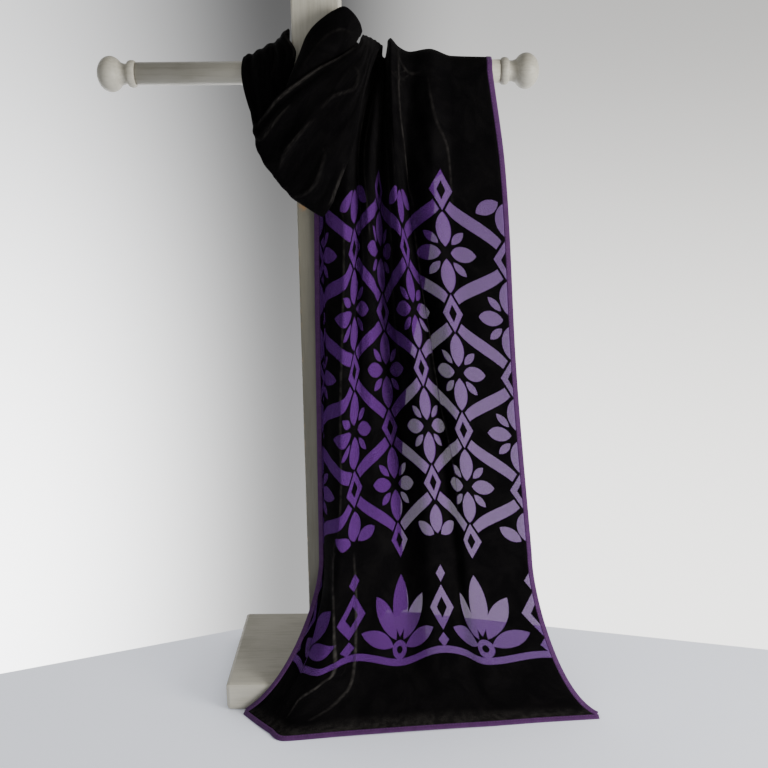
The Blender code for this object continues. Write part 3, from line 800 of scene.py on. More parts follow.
# %% Folds of the swag
SWAG_CREASES = {
    "rim": ([(7.4, 0.02), (9.7, 0.03), (11.2, 0.02), (13.3, 0.01)], 2.6, 0.6, 0.9),
    "under_rim": ([(7.2, 0.12), (8.2, 0.1), (10.8, 0.12), (12.2, 0.16)], 5.5, -3.0, 0),
    "second_roll": ([(7.1, 0.2), (8.1, 0.19), (9.6, 0.18)], 3.2, 1.6, 0.45),
    "upper_dip": ([(7.4, 0.34), (9.8, 0.33), (11.2, 0.36)], 7.0, -2.6, 0),
    "upper_ridge": ([(10.5, 0.45), (11.2, 0.46), (12.2, 0.6), (12.6, 0.5), (12.4, 0.34)], 3.0, 1.6, 0.25),
    "middle_fold": ([(8.4, 0.5), (9.0, 0.45), (9.8, 0.46), (10.2, 0.47)], 3.6, 3.0, 0.35),
    "middle_dip": ([(7.6, 0.6), (9.8, 0.62), (11.2, 0.68)], 7.0, -3.2, 0),
    "lower_fold": ([(7.8, 0.72), (9.0, 0.81), (10.0, 0.77), (10.1, 0.7)], 4.2, 2.8, 0.25),
    "lower_dip": ([(8.2, 0.9), (10.6, 0.9)], 3.5, -1.6, 0),
    "lower_edge": ([(8.9, 0.985), (10.9, 0.985)], 2.0, 0.4, 0.7),
    "turn_lump_high": ([(5.6, 0.1), (7.6, 0.14)], 4.0, 1.8, 0.1),
    "turn_dip_high": ([(5.6, 0.22), (7.4, 0.24)], 3.0, -1.4, 0),
    "turn_lump": ([(5.6, 0.3), (7.6, 0.33)], 3.5, 1.5, 0.1),
    "turn_lump_low": ([(5.8, 0.52), (7.6, 0.55)], 4.5, 2.0, 0.1),
    "turn_dip_low": ([(6.0, 0.74), (7.6, 0.76)], 4.0, -1.8, 0),
    "left_tuck": ([(6.6, 0.4), (7.2, 0.44), (8.0, 0.42)], 5.0, 1.4, 0.1),
    "low_tuck": ([(6.8, 0.66), (8.2, 0.66)], 4.0, 1.5, 0.15),
    "left_piece_fold": ([(0.6, 0.74), (1.8, 0.7), (4.0, 0.56)], 3.4, 1.8, 0.2),
    "left_piece_dip": ([(1.0, 0.42), (2.4, 0.4), (4.2, 0.34)], 6.0, -1.8, 0),
    "left_piece_edge": ([(1.9, 0.985), (2.9, 0.98), (3.4, 0.95)], 2.2, 0.6, 0.6),
    "left_top": ([(0.2, 0.9), (0.8, 0.84), (1.3, 0.8)], 3.0, 1.4, 0.3),
}


def on_rows(grid, rows_each):
    """A reader of paths of (station, share across), with so many rows of the grid to a station."""
    last = grid.shape[1] - 1
    return lambda path: np.array([on_grid(grid, row * rows_each, share * last) for row, share in path])


swag, swag_highlights = lay_creases(swag, SWAG_CREASES, swag, on_rows(swag, ROWS_PER_SECTION), 1)
print(len(SWAG_CREASES), "folds on the swag")

# %% [markdown]
# The wrap behind the post is hidden from the front. It gets a few folds of the same kind, along the
# way that the rope of cloth swings, so that it looks like the rest from behind.

# %% Folds of the wrap
WRAP_CREASES = {
    "under_bar": ([(1.0, 0.8), (2.2, 0.72), (3.6, 0.7), (5.0, 0.74)], 5.0, 1.8, 0.2),
    "sling": ([(1.6, 0.35), (3.0, 0.3), (4.4, 0.36), (5.6, 0.3)], 6.0, -2.0, 0),
    "low_roll": ([(2.6, 0.1), (3.8, 0.07), (5.0, 0.1)], 4.0, 1.6, 0.25),
    "climb": ([(5.4, 0.55), (6.4, 0.5), (7.6, 0.52)], 5.0, 1.6, 0.2),
}
wrap, wrap_highlights = lay_creases(wrap, WRAP_CREASES, wrap, on_rows(wrap, ROWS_PER_SECTION), -1)
print(len(WRAP_CREASES), "folds on the wrap")

# %% [markdown]
# ## The loop above the bar
#
# The slack upper part of the swag stands up above the bar as a small hood. It runs on from
# the swag's rim, up its own front, over a ridge and down behind.

# %% The loop
LOOP_COLUMNS = ("ridge_x", "ridge_y", "ridge_z", "back_x", "back_y", "back_z", "belly")
LOOP = {
    "left": (-12, -38, 673, -12, -31, 664, 2),
    "left_shoulder": (-8, -37, 683, -8, -29, 668, 4),
    "rise": (-1, -37, 692, -3, -28, 672, 6),
    "crown": (9, -37, 700, 6, -28, 676, 8),
    "high": (19, -36, 706, 16, -27, 680, 8),
    "peak": (28, -35, 709, 27, -26, 682, 7),
    "right_shoulder": (36, -33, 704, 35, -24, 684, 5),
    "right": (42, -30, 696, 40, -20, 686, 3),
    "end": (44, -28, 689, 42, -20, 685, 1),
}
LOOP_TUCK = 0.003
LOW_SHARE, HIGH_SHARE, HIGH_BELLY = 0.3, 0.7, 0.9
LOOP_FIRST, LOOP_LAST = 19, 28
LOOP_ROWS, LOOP_STATIONS = 60, 10
LOOP_WIDTH = 0.08


def loop_grid(rim, inside, rows):
    """The loop runs on from the swag's rim, up its own front, over the ridge and down behind."""
    table = rounded_through(list(LOOP.values()), np.linspace(0, 1, len(rim)))
    table = named_columns(LOOP_COLUMNS, table)
    ridge, back = place_of(table, "ridge"), place_of(table, "back")
    belly = table["belly"][:, None] * np.array([0, -1, 0])
    foot = onward(rim, inside, SEAM_GAP)
    tuck = onward(rim, inside, SEAM_GAP + LOOP_TUCK)
    low = tuck + (ridge - tuck) * LOW_SHARE + belly
    high = tuck + (ridge - tuck) * HIGH_SHARE + belly * HIGH_BELLY
    return rounded_through([foot, tuck, low, high, ridge, back], np.linspace(0, 1, rows))


rim_rows = slice(int(LOOP_FIRST * finer), int(LOOP_LAST * finer) + 1)
loop = loop_grid(swag[rim_rows, 0], swag[rim_rows, 4], LOOP_ROWS)
LOOP_CREASES = {
    "brow": ([(3.5, 0.15), (5.0, 0.45), (4.5, 0.8)], 4.0, 1.0, 0.15),
    "cheek": ([(1.2, 0.5), (4.0, 0.62), (7.0, 0.6)], 3.0, -1.0, 0),
}
loop, loop_highlights = lay_creases(loop, LOOP_CREASES, loop, on_rows(loop, LOOP_ROWS / LOOP_STATIONS), 1)
loop_across = np.linspace(0, LOOP_WIDTH, loop.shape[1])
loop_place = cloth_place(loop, loop_across, fall_length + wrap_length)
print("loop", loop.shape[:2])

# %% [markdown]
# ## The back fall
#
# The other end is gathered over the bar and hangs down behind. It is a gathered fan that opens
# into soft, uneven pleats. The front fall's sheer parts show it as a deeper purple.

# %% The back fall
BACK_FALL_COLUMNS = ("outer_x", "inner_x", "y", "z", "depth")
BACK_FALL = {
    "over_wrap": (42, 70, 44, 648, 0.7),
    "fanning": (30, 84, 54, 625, 2.5),
    "spread": (16, 102, 62, 585, 7),
    "widest": (2, 114, 64, 530, 11),
    "below_wrap": (-8, 104, 60, 440, 13.5),
    "mid": (-15, 84, 56, 330, 14),
    "low": (-17, 76, 54, 170, 14),
    "hem": (-17, 84, 52, 48, 13),
}
BACK_ROWS = 157


def back_fall_grid(rows, columns):
    table = smooth_through(np.linspace(0, 1, len(BACK_FALL)), list(BACK_FALL.values()),
                           np.linspace(0, 1, rows))
    read = {name: column[:, None] for name, column in named_columns(BACK_FALL_COLUMNS, table).items()}
    across = np.linspace(0, 1, columns)
    x = read["outer_x"] + (read["inner_x"] - read["outer_x"]) * across
    y = read["y"] + read["depth"] * crest_wave(across)
    return np.stack([x, y, read["z"] + np.zeros_like(x)], axis=2)


back_finer = (BACK_ROWS - 1) / (CAD_BACK_ROWS - 1)
back = joined_to(back_fall_grid(BACK_ROWS, fall.shape[1]), swag, BACK_JOIN * back_finer)
back_start = fall_length + wrap_length + swag_length
back_place = cloth_place(back, fall_across, back_start)
scarf_length = back_place[-1, :, 1].mean()
print("back fall", back.shape[:2], round(scarf_length - back_start, 3), "m, whole scarf",
      round(scarf_length, 3), "m")

# %% [markdown]
# Its creases are written as the front fall's are: millimetres across, and up from its own hem.
# A few run the whole way down, some start where the cloth is gathered, and two cross it.

# %% Creases of the back fall
BACK_CREASES = {
    "long_left": ([(70, 560), (80, 430), (64, 300), (76, 160), (70, 60)], 7.0, 2.0, 0.2),
    "long_middle": ([(178, 590), (190, 470), (170, 330), (186, 190)], 6.0, -2.2, 0),
    "long_right": ([(300, 540), (286, 400), (306, 260), (296, 120)], 8.0, 1.8, 0.2),
    "gather_left": ([(110, 615), (118, 560), (112, 500)], 4.0, 1.6, 0.3),
    "gather_middle": ([(220, 618), (214, 570), (226, 510)], 4.0, 1.5, 0.25),
    "gather_right": ([(275, 612), (262, 550)], 3.5, -1.5, 0),
    "low_left": ([(130, 200), (140, 110), (128, 20)], 6.0, 1.6, 0.15),
    "low_right": ([(245, 150), (236, 70), (250, 10)], 7.0, -1.8, 0),
    "across_left": ([(40, 330), (90, 318), (140, 330)], 9.0, 1.0, 0),
    "across_right": ([(250, 240), (310, 228), (350, 236)], 9.0, -1.0, 0),
}


def up_from_back_hem(path):
    return np.array([(across * MM, scarf_length - up * MM) for across, up in path])


back, back_highlights = lay_creases(back, BACK_CREASES, back_place, up_from_back_hem, 1)
print(len(BACK_CREASES), "creases on the back fall")

# %% [markdown]
# ## The burn-out pattern
#
# Burn-out velvet is woven with a sheer silk ground and a plant-fibre pile. A paste printed on
# the back eats the pile away, and the sheer ground is left showing where the pattern is. Here the
# pattern is drawn from distances: each shape is a number that is negative inside it, so that
# the least of two numbers is both shapes and the most is what they share.
#
# The design is a traditional ogee trellis of swelling bands with a large four-petal flower in
# each window, and a border of fan palmettes between diamonds. All sizes are in millimetres of
# cloth, and three repeats fill the width from edge to edge.

# %% Shapes as distances
def away(x, y, middle_x, middle_y):
    """Distance from a point."""
    dx, dy = x - middle_x, y - middle_y
    return (dx * dx + dy * dy).by("SQRT")


def diamond(x, y, middle_x, middle_y, half_width, half_height):
    slant = half_width * half_height / math.hypot(half_width, half_height)
    return (abs(x - middle_x) / half_width + abs(y - middle_y) / half_height - 1.0) * slant


def petal(x, y, root, tip_distance, angle, plump):
    """A pointed leaf from a root towards an angle from upright: where two discs overlap."""
    half = tip_distance / 2
    radius = (half**2 + plump**2) / (2 * plump)
    turn = math.radians(angle)
    rooted_x, rooted_y = x - root[0], y - root[1]
    up = rooted_x * math.sin(turn) + rooted_y * math.cos(turn) - half
    side = rooted_x * math.cos(turn) - rooted_y * math.sin(turn)
    return away(abs(side), up, plump - radius, 0.0) - radius


def leaves(x, y, kinds):
    return least(*[petal(x, y, **leaf) for leaf in kinds.values()])


# %% The trellis
CLOTH_WIDTH = 380.0
REPEAT_WIDTH, REPEAT_HEIGHT = CLOTH_WIDTH / 3, 124.0
TRELLIS_START, TRELLIS_END = 196.0, 568.0
BAND_THIN, BAND_SWELL = 2.0, 5.0
KNOT_ROOM_WIDTH, KNOT_ROOM_HEIGHT = 16.0, 24.5
KNOT_REACH = 24.0
KNOT, KNOT_HOLE = (13.0, 20.0), (5.0, 9.0)
PETALS = {
    "upright": dict(root=(0, 6), tip_distance=35, angle=0, plump=9.0),
    "level": dict(root=(6, 0), tip_distance=27, angle=90, plump=8.0),
    "small": dict(root=(8, 9), tip_distance=19, angle=46, plump=4.2),
}
# A sprig of three petals grows in from an end of the trellis, where a whole flower has no room.
SPRIG = {
    "middle": dict(root=(0, 5), tip_distance=33, angle=0, plump=9.0),
    "side": dict(root=(5, 4), tip_distance=27, angle=58, plump=7.0),
}


def flower(x, y, middle_x, middle_y):
    """Four broad petals and four narrow ones between them, round an open eye."""
    return leaves(abs(x - middle_x), abs(y - middle_y), PETALS)


def knot(x, y, middle):
    """A diamond with a smaller one left out of its middle."""
    return most(diamond(x, y, *middle, *KNOT), -diamond(x, y, *middle, *KNOT_HOLE))


def trellis(across, along):
    """Ogee bands that touch in turn, with flowers in the windows and knots where they touch."""
    half_w, half_h = REPEAT_WIDTH / 2, REPEAT_HEIGHT / 2
    x = across.by("PINGPONG", half_w)
    y = (along - TRELLIS_START).by("PINGPONG", half_h)
    swing = half_w / 2
    turn = y * (math.pi / half_h)
    line = turn.by("COSINE") * swing + half_w / 2
    sine = turn.by("SINE")
    lean = ((sine * (swing * math.pi / half_h)).by("POWER", 2.0) + 1.0).by("SQRT")
    ogee = abs((x - line) / lean) - (sine * BAND_SWELL + BAND_THIN)
    knot_middles = ((0.0, half_h), (half_w, 0.0))
    rooms = [diamond(x, y, *middle, KNOT_ROOM_WIDTH, KNOT_ROOM_HEIGHT) for middle in knot_middles]
    bands = most(ogee, -least(*rooms))
    beyond_end = abs(along - (TRELLIS_START + TRELLIS_END) / 2) - (TRELLIS_END - TRELLIS_START) / 2
    near_end = beyond_end + half_h
    first_flowers = least(most(flower(x, y, 0.0, 0.0), near_end), most(leaves(x, y, SPRIG), -near_end))
    inside = most(least(bands, first_flowers, flower(x, y, half_w, half_h)), beyond_end)
    knots = least(*[knot(x, y, middle) for middle in knot_middles])
    return least(inside, most(knots, beyond_end - KNOT_REACH))


# %% The border
BORDER_START, BORDER_PERIOD = 66.0, CLOTH_WIDTH / 3
LEAVES = {
    "upright": dict(root=(0.0, 26.0), tip_distance=66.0, angle=0, plump=11.5),
    "leaning": dict(root=(5.0, 23.0), tip_distance=56.0, angle=33, plump=10.0),
    "spread": dict(root=(8.0, 16.0), tip_distance=46.0, angle=68, plump=8.6),
}
STEM_HALF, STEM_WAVE = 3.8, 5.0
HEART_HEIGHT, HEART_RADIUS, EYE_RADIUS = 13.0, 10.0, 3.8
DIAMONDS = ((54.0, 16.0, 24.0), (20.0, 6.5, 8.0), (90.0, 6.5, 9.5))
DIAMOND_HOLE = (54.0, 6.5, 11.0)


def border(across, along):
    """Fan palmettes on a waving stem, with a double diamond between each two."""
    half = BORDER_PERIOD / 2
    x = (across + half).by("PINGPONG", half)
    y = along - BORDER_START
    heart = away(x, y, 0.0, HEART_HEIGHT) - HEART_RADIUS
    eye = away(x, y, 0.0, HEART_HEIGHT) - EYE_RADIUS
    wave = (x * (math.pi / half)).by("COSINE") * -STEM_WAVE + STEM_WAVE
    stem = abs(y - wave) - STEM_HALF
    between = [diamond(x, y, half, *sizes) for sizes in DIAMONDS]
    shape = least(leaves(x, y, LEAVES), heart, stem, *between)
    return most(shape, -least(eye, diamond(x, y, half, *DIAMOND_HOLE)))


# %% [markdown]
# ## Velvet
#
# Pile drinks light where one looks into it and gives back a soft sheen where one looks across
# it, so folds in black velvet show as pale brown-grey lines. The sheen lobe of the Principled
# shader gives some of this, and the rest is painted highlight: pale pile colour along the creases
# and near each hem. The sheer ground lets about a fifth of the light through, which is its Alpha,
# and the pile stands up from it, which is the bump at the pattern's edge.

# %% Velvet with its pattern
PILE_DARK = (0.0012, 0.0010, 0.0013, 1)
PILE_WORN = (0.0036, 0.0032, 0.0034, 1)
# The colour of the painted highlights along the creases and near the hems.
PILE_HIGHLIGHT = (0.044, 0.040, 0.037, 1)
SHEER = (0.067, 0.014, 0.122, 1)
SHEER_THIN = (0.100, 0.028, 0.178, 1)
# Millimetres from each hem over which a painted sheen in the pile fades out.
HEM_SHEEN_REACH = 17.0
LINE_EDGE = (0.0002, 0.0024)
SHEER_COVER = 0.775
ETCHED_EDGE = 0.35


def burnt_out(tree):
    """1 where the ground is bare and 0 under pile, from the place on the cloth."""
    place = place_from(tree, "UV", "cloth")
    u, v, _ = parts_of(tree, place)
    across = u * 1000.0
    from_front = v * 1000.0
    along = least(from_front, (v - scarf_length) * -1000.0)
    ragged = (noise(tree, place, 900, detail=3) - 0.5) * 1.1
    shape = least(trellis(across, along), border(across, along)) + ragged
    return place, along, step_between(shape, -ETCHED_EDGE, ETCHED_EDGE, 1.0, 0.0)


def attribute_of(tree, name):
    node = tree.nodes.new("ShaderNodeAttribute")
    node.attribute_name = name
    return Number(tree, node.outputs["Fac"])


def velvet(name, dark, worn, highlight, sheen, sheen_tint):
    """Velvet in two colours of pile, with the pattern burnt out of it, and painted highlights on its
    creases and hems when a highlight colour is given.
    """
    made, tree, shader = material(name)
    place, along, bare = burnt_out(tree)
    nap = noise(tree, place, 34, detail=4, roughness=0.62, distortion=0.6)
    fibres = noise(tree, stretched(tree, place, (1.0, 0.35, 1.0)), 2600, detail=2)
    lay = step_between(nap * 0.8 + fibres * 0.2, 0.36, 0.70)
    pile = blend_colours(tree, lay, dark, worn)
    # Painted highlights: pale pile colour along the creases and near each hem, for light that the pile
    # catches there.
    if highlight:
        line = step_between(abs(attribute_of(tree, "crease_offset")), *LINE_EDGE, 1.0, 0.0)
        # Painted sheen: a pale band in the pile that fades out within 17 mm of each hem, broken up by the
        # fibres.
        hem_sheen = step_between(along, 1.0, HEM_SHEEN_REACH, 0.75, 0.0) * step_between(fibres, 0.25, 0.75)
        broken = step_between(noise(tree, place, 150, detail=3), 0.36, 0.66, 0.30, 1.0)
        painted_sheen = line * attribute_of(tree, "painted_highlight") * broken + hem_sheen * broken
        pile = blend_colours(tree, painted_sheen, pile, highlight)
        bare = bare * (painted_sheen * -0.8 + 1.0)
    threads = noise(tree, stretched(tree, place, (1.0, 0.12, 1.0)), 3600, detail=1)
    cross_threads = noise(tree, stretched(tree, place, (0.12, 1.0, 1.0)), 3600, detail=1)
    woven = step_between(least(threads, cross_threads), 0.25, 0.6)
    ground = blend_colours(tree, woven, SHEER_THIN, SHEER)
    tree.links.new(blend_colours(tree, bare, pile, ground), shader.inputs["Base Color"])
    cover = woven * 0.10 + (SHEER_COVER - 0.05)
    plug(tree, shader.inputs["Alpha"], bare * (cover - 1.0) + 1.0)
    plug(tree, shader.inputs["Roughness"], bare * -0.25 + 0.9)
    shader.inputs["Specular IOR Level"].default_value = 0.04
    shader.inputs["Sheen Weight"].default_value = sheen
    shader.inputs["Sheen Roughness"].default_value = 0.3
    shader.inputs["Sheen Tint"].default_value = sheen_tint
    relief = (bare * -1.0) + nap * 0.9 + fibres * 0.5
    bump(tree, shader, relief, 0.0009)
    return made


velvet_pile = velvet("velvet_pile", PILE_DARK, PILE_WORN, PILE_HIGHLIGHT, 0.03, (0.62, 0.56, 0.54, 1))
print("velvet with", len(velvet_pile.node_tree.nodes), "nodes")

# %% [markdown]
# The wrong side has no pile. Where the pile is, its woven backing shows as a dark purple, and
# the bare ground is the same as from the front. It faces inwards on the back fall, where the
# front's sheer parts show it.

# %% The wrong side
BACKING_DARK = (0.036, 0.008, 0.062, 1)
BACKING = (0.062, 0.014, 0.105, 1)
wrong_side = velvet("velvet_wrong_side", BACKING_DARK, BACKING, None, 0.05, (0.55, 0.4, 0.7, 1))
print("wrong side", wrong_side.name)

# %% [markdown]
# ## From a grid to cloth
#
# A grid of points becomes a sheet of quads with a UV map in metres of flat cloth, and Solidify
# gives it a thin wall. The wall's second face takes the second material, so that the right
# and wrong sides differ.

# %% Make a sheet
CLOTH_WALL = 0.0009


def area_of(grid):
    a, b, c, d = grid[:-1, :-1], grid[:-1, 1:], grid[1:, 1:], grid[1:, :-1]
    return 0.5 * np.linalg.norm(np.cross(c - a, d - b), axis=-1).sum()


def cloth(name, grid, place, highlight, facing, finishes, node):
    """A thin wall of cloth on a grid, with its right side facing out or the other way."""
    rows, columns = grid.shape[:2]
    index = np.arange(rows * columns).reshape(rows, columns)
    quads = np.stack([index[:-1, :-1], index[:-1, 1:], index[1:, 1:], index[1:, :-1]], axis=-1)
    if facing < 0:
        quads = quads[..., ::-1]
    mesh = mesh_of(name, grid.reshape(-1, 3).tolist(), quads.reshape(-1, 4).tolist(), closed=False)
    lay_out(mesh, place)
    for attribute, values in (("crease_offset", highlight[..., 0]), ("painted_highlight", highlight[..., 1])):
        mesh.attributes.new(attribute, "FLOAT", "POINT").data.foreach_set("value", values.ravel())
    piece = piece_of(name, mesh, finishes, [node])
    wall = piece.modifiers.new("wall", "SOLIDIFY")
    wall.thickness = CLOTH_WALL
    wall.offset = 0
    wall.material_offset = len(finishes) - 1
    print(name, rows, "x", columns, "area", round(area_of(grid), 4), "m2")
    return piece


two_sided = [velvet_pile, wrong_side]
fall_cloth = cloth("front_fall_velvet", fall, fall_place, fall_highlights, -1, two_sided, "scarf_front_fall")
swag_cloth = cloth("swag_velvet", swag, swag_place, swag_highlights, 1, [velvet_pile], "scarf_swag")
coarser = [values[::2, ::2] for values in (wrap, wrap_place, wrap_highlights)]
wrap_cloth = cloth("back_wrap_velvet", *coarser, -1, [velvet_pile], "scarf_back_wrap")
loop_cloth = cloth("top_loop_velvet", loop, loop_place, loop_highlights, 1, [velvet_pile], "scarf_top_loop")
back_cloth = cloth("back_fall_velvet", back, back_place, back_highlights, 1, two_sided, "scarf_back_fall")

# %% [markdown]
# ## Binding
#
# The edges are bound with a narrow purple tape, folded over and sewn. Each tape is a flat oval
# swept along the edge: its long way points out from the cloth, and its short way is the cloth's
# own thickness direction. At a corner the side tape laps on to the end tape, as a folded corner does.

# %% Tape along an edge
TAPE_WALL = 0.0019
END_REACH = BINDING_WIDTH * 0.8
TAPE_POINTS = 14
PURPLE_DEEP = (0.038, 0.006, 0.052, 1)
PURPLE_LIGHT = (0.086, 0.018, 0.112, 1)


def tape_cloth():
    """Matt purple tape with fine ribs across it."""
    made, tree, shader = material("purple_tape")
    place = place_from(tree, "UV", "cloth")
    _, along, _ = parts_of(tree, place)
    ribs = (along * (2 * math.pi / 0.0009)).by("SINE") * 0.5 + 0.5
    shade = noise(tree, place, 120, detail=3)
    fuzz = noise(tree, place_from(tree, "Object"), 2400, detail=2)
    mix = step_between(ribs * 0.3 + shade * 0.5 + fuzz * 0.3, 0.3, 0.8)
    tree.links.new(blend_colours(tree, mix, PURPLE_DEEP, PURPLE_LIGHT), shader.inputs["Base Color"])
    shader.inputs["Roughness"].default_value = 0.7
    shader.inputs["Specular IOR Level"].default_value = 0.3
    shader.inputs["Sheen Weight"].default_value = 0.15
    shader.inputs["Sheen Roughness"].default_value = 0.5
    shader.inputs["Sheen Tint"].default_value = (0.6, 0.45, 0.8, 1)
    bump(tree, shader, ribs * 0.6 + fuzz * 0.6, 0.00025)
    return made


purple_tape = tape_cloth()


def tape(name, edge, outward, normal, node):
    """A closed flat oval swept along an edge of the cloth, and never below the table."""
    angles = np.linspace(0, 2 * math.pi, TAPE_POINTS, endpoint=False)
    width, thick = BINDING_WIDTH + 2 * SEAM_GAP, TAPE_WALL
    across = np.sign(np.cos(angles)) * np.abs(np.cos(angles))**0.6 * width / 2
    up = np.sign(np.sin(angles)) * np.abs(np.sin(angles))**0.75 * thick / 2
    middle = edge + outward * (BINDING_WIDTH / 2)
    points = (middle[:, None, :] + across[None, :, None] * outward[:, None, :]
              + up[None, :, None] * normal[:, None, :])
    points[..., 2] = np.maximum(points[..., 2], 0)
    rings = [range(r * TAPE_POINTS, (r + 1) * TAPE_POINTS) for r in range(len(edge))]
    faces = [(a[i], a[i - TAPE_POINTS + 1], b[i - TAPE_POINTS + 1], b[i])
             for a, b in zip(rings, rings[1:]) for i in range(TAPE_POINTS)]
    faces += [tuple(rings[0])[::-1], tuple(rings[-1])]
    mesh = mesh_of(name, points.reshape(-1, 3).tolist(), faces)
    round_tape = np.arange(TAPE_POINTS) / TAPE_POINTS * 2 * width
    lay_out(mesh, np.stack(np.broadcast_arrays(round_tape, travelled(edge)[:, None]), axis=-1))
    return piece_of(name, mesh, [purple_tape], [node])


def framed(line, inside, facing):
    """An edge line, the way out from it, and the cloth's way up there."""
    along = unit(np.gradient(line, axis=0))
    outward = unit(line - inside)
    outward = unit(outward - (outward * along).sum(-1, keepdims=True) * along)
    return line, outward, unit(np.cross(along, outward)) * facing


def side_edge(grid, edge, inner, facing):
    return framed(grid[:, edge], grid[:, inner], facing)


def end_edge(grid, edge, inner, facing):
    """An end edge that runs on under the side tapes beside it."""
    rows = [np.vstack([onward(grid[r, 0], grid[r, 3], END_REACH), grid[r],
                       onward(grid[r, -1], grid[r, -4], END_REACH)]) for r in (edge, inner)]
    return framed(*rows, facing)


# %% Bind the edges
OVER_EDGE_ROWS = OVER_ROWS - 1
CORNER_LAP = 0.0024
fall_lapped = np.concatenate([onward(fall[0], fall[1], CORNER_LAP)[None], fall])
back_lapped = np.concatenate([back[int(back_finer):], onward(back[-1], back[-2], CORNER_LAP)[None]])
edges = {
    "binding_right_edge": side_edge(fall_lapped, 0, 3, 1),
    "binding_left_edge": side_edge(fall_lapped[:-OVER_EDGE_ROWS], -1, -4, -1),
    "binding_front_hem": end_edge(fall, 0, 3, 1),
    "binding_back_hem": end_edge(back, -1, -4, 1),
    "binding_back_left_edge": side_edge(back_lapped, 0, 3, 1),
    "binding_back_right_edge": side_edge(back_lapped, -1, -4, 1),
}
tapes = {node: tape(f"{node}_tape", *edge, node) for node, edge in edges.items()}
print(len(tapes), "tapes,", round(sum(travelled(line)[-1] for line, _, _ in edges.values()), 2), "m in all")

# %% [markdown]
# ## Stitches
#
# The tape is sewn down with a running stitch close to its inner edge, on both faces. Stitches
# repeat along a line, so Geometry Nodes lay them: the line is resampled at the stitch pitch,
# and a small thread shape is put on each point, turned along the line.

# %% Stitch lines
STITCH_PITCH, STITCH_LENGTH, THREAD_RADIUS = 0.0031, 0.0020, 0.00022
STITCH_INSET = 0.0011


def stitch_tree():
    """A node tree that lays stitches along the edges of a mesh."""
    tree = bpy.data.node_groups.new("running_stitch", "GeometryNodeTree")
    sockets = tree.interface
    sockets.new_socket("Lines", in_out="INPUT", socket_type="NodeSocketGeometry")
    sizes = {"Pitch": STITCH_PITCH, "Stitch Length": STITCH_LENGTH, "Thread": THREAD_RADIUS}
    for name, value in sizes.items():
        sockets.new_socket(name, in_out="INPUT", socket_type="NodeSocketFloat").default_value = value
    sockets.new_socket("Finish", in_out="INPUT", socket_type="NodeSocketMaterial")
    sockets.new_socket("Stitches", in_out="OUTPUT", socket_type="NodeSocketGeometry")
    given = tree.nodes.new("NodeGroupInput").outputs
    lines = add_node(tree, "GeometryNodeMeshToCurve", Mesh=given["Lines"])
    points = add_node(tree, "GeometryNodeCurveToPoints", Curve=lines.outputs["Curve"])
    points.mode = "LENGTH"
    plug(tree, points.inputs["Length"], given["Pitch"])
    ball = add_node(tree, "GeometryNodeMeshUVSphere", Segments=6, Rings=5, Radius=given["Thread"])
    longer = Number(tree, given["Stitch Length"]) / (Number(tree, given["Thread"]) * 2.0)
    size = add_node(tree, "ShaderNodeCombineXYZ", X=1.0, Y=1.0, Z=longer)
    thread = add_node(tree, "GeometryNodeTransform", Geometry=ball.outputs["Mesh"],
                      Scale=size.outputs["Vector"])
    aligned = add_node(tree, "FunctionNodeAlignRotationToVector", Vector=points.outputs["Tangent"])
    aligned.axis = "Z"
    laid = add_node(tree, "GeometryNodeInstanceOnPoints", Points=points.outputs["Points"],
                    Instance=thread.outputs["Geometry"], Rotation=aligned.outputs["Rotation"])
    real = add_node(tree, "GeometryNodeRealizeInstances", Geometry=laid.outputs["Instances"])
    finished = add_node(tree, "GeometryNodeSetMaterial", Geometry=real.outputs["Geometry"],
                        Material=given["Finish"])
    add_node(tree, "NodeGroupOutput", Stitches=finished.outputs["Geometry"])
    return tree


def thread_finish():
    """Purple thread, a shade lighter than the tape."""
    made, tree, shader = material("purple_thread")
    place = place_from(tree, "Object")
    twist = noise(tree, place, 3000, detail=1)
    colour = blend_colours(tree, twist, (0.09, 0.018, 0.12, 1), (0.15, 0.040, 0.20, 1))
    tree.links.new(colour, shader.inputs["Base Color"])
    shader.inputs["Roughness"].default_value = 0.55
    bump(tree, shader, twist, 0.0001)
    return made


running_stitch = stitch_tree()
purple_thread = thread_finish()


def sew(name, bindings):
    """Stitches down both faces of several bindings, as one plain mesh."""
    mesh = bpy.data.meshes.new(f"{name}_lines")
    points, pairs = [], []
    for line, outward, normal in (edges[binding] for binding in bindings):
        for face in (1, -1):
            seam = line + outward * STITCH_INSET + normal * face * (TAPE_WALL - THREAD_RADIUS) / 2
            pairs += [(len(points) + i, len(points) + i + 1) for i in range(len(seam) - 1)]
            points += seam.tolist()
    mesh.from_pydata(points, pairs, [])
    carrier = add_object(f"{name}_lines", mesh)
    laying = carrier.modifiers.new("running_stitch", "NODES")
    laying.node_group = running_stitch
    for item in running_stitch.interface.items_tree:
        if item.name == "Finish":
            laying[item.identifier] = purple_thread
    seen = carrier.evaluated_get(bpy.context.evaluated_depsgraph_get())
    sewn = bpy.data.meshes.new_from_object(seen)
    bpy.data.objects.remove(carrier)
    sewn.name = name
    print(name, len(sewn.polygons), "faces")
    return piece_of(name, sewn, [], [])


# %% Sew the tapes down
front_names = ("binding_right_edge", "binding_left_edge", "binding_front_hem")
back_names = ("binding_back_hem", "binding_back_left_edge", "binding_back_right_edge")
front_stitches, back_stitches = sew("front_stitches", front_names), sew("back_stitches", back_names)

# %% [markdown]
# ## What the cloth was cut from
#
# The gathered stretches show only a narrow part of the 380 mm width.

# %% [markdown]
# ## The stage
#
# The stand is on a pale table in a pale room. The table is a plain slab whose far edge is where
# the photograph has its wall, and the room is the soft light of the world all round. The table
# glows a little, for the light that a whole room would throw on it, and less so where the base
# or the hem stands close, which gives it its soft shadows.

# %% Table and light
TABLE_OUTLINE = [(-1.0, -0.235), (0.027, 0.150), (1.2, -0.125), (1.2, -0.75), (-1.0, -0.75)]
TABLE_DEPTH = 0.03


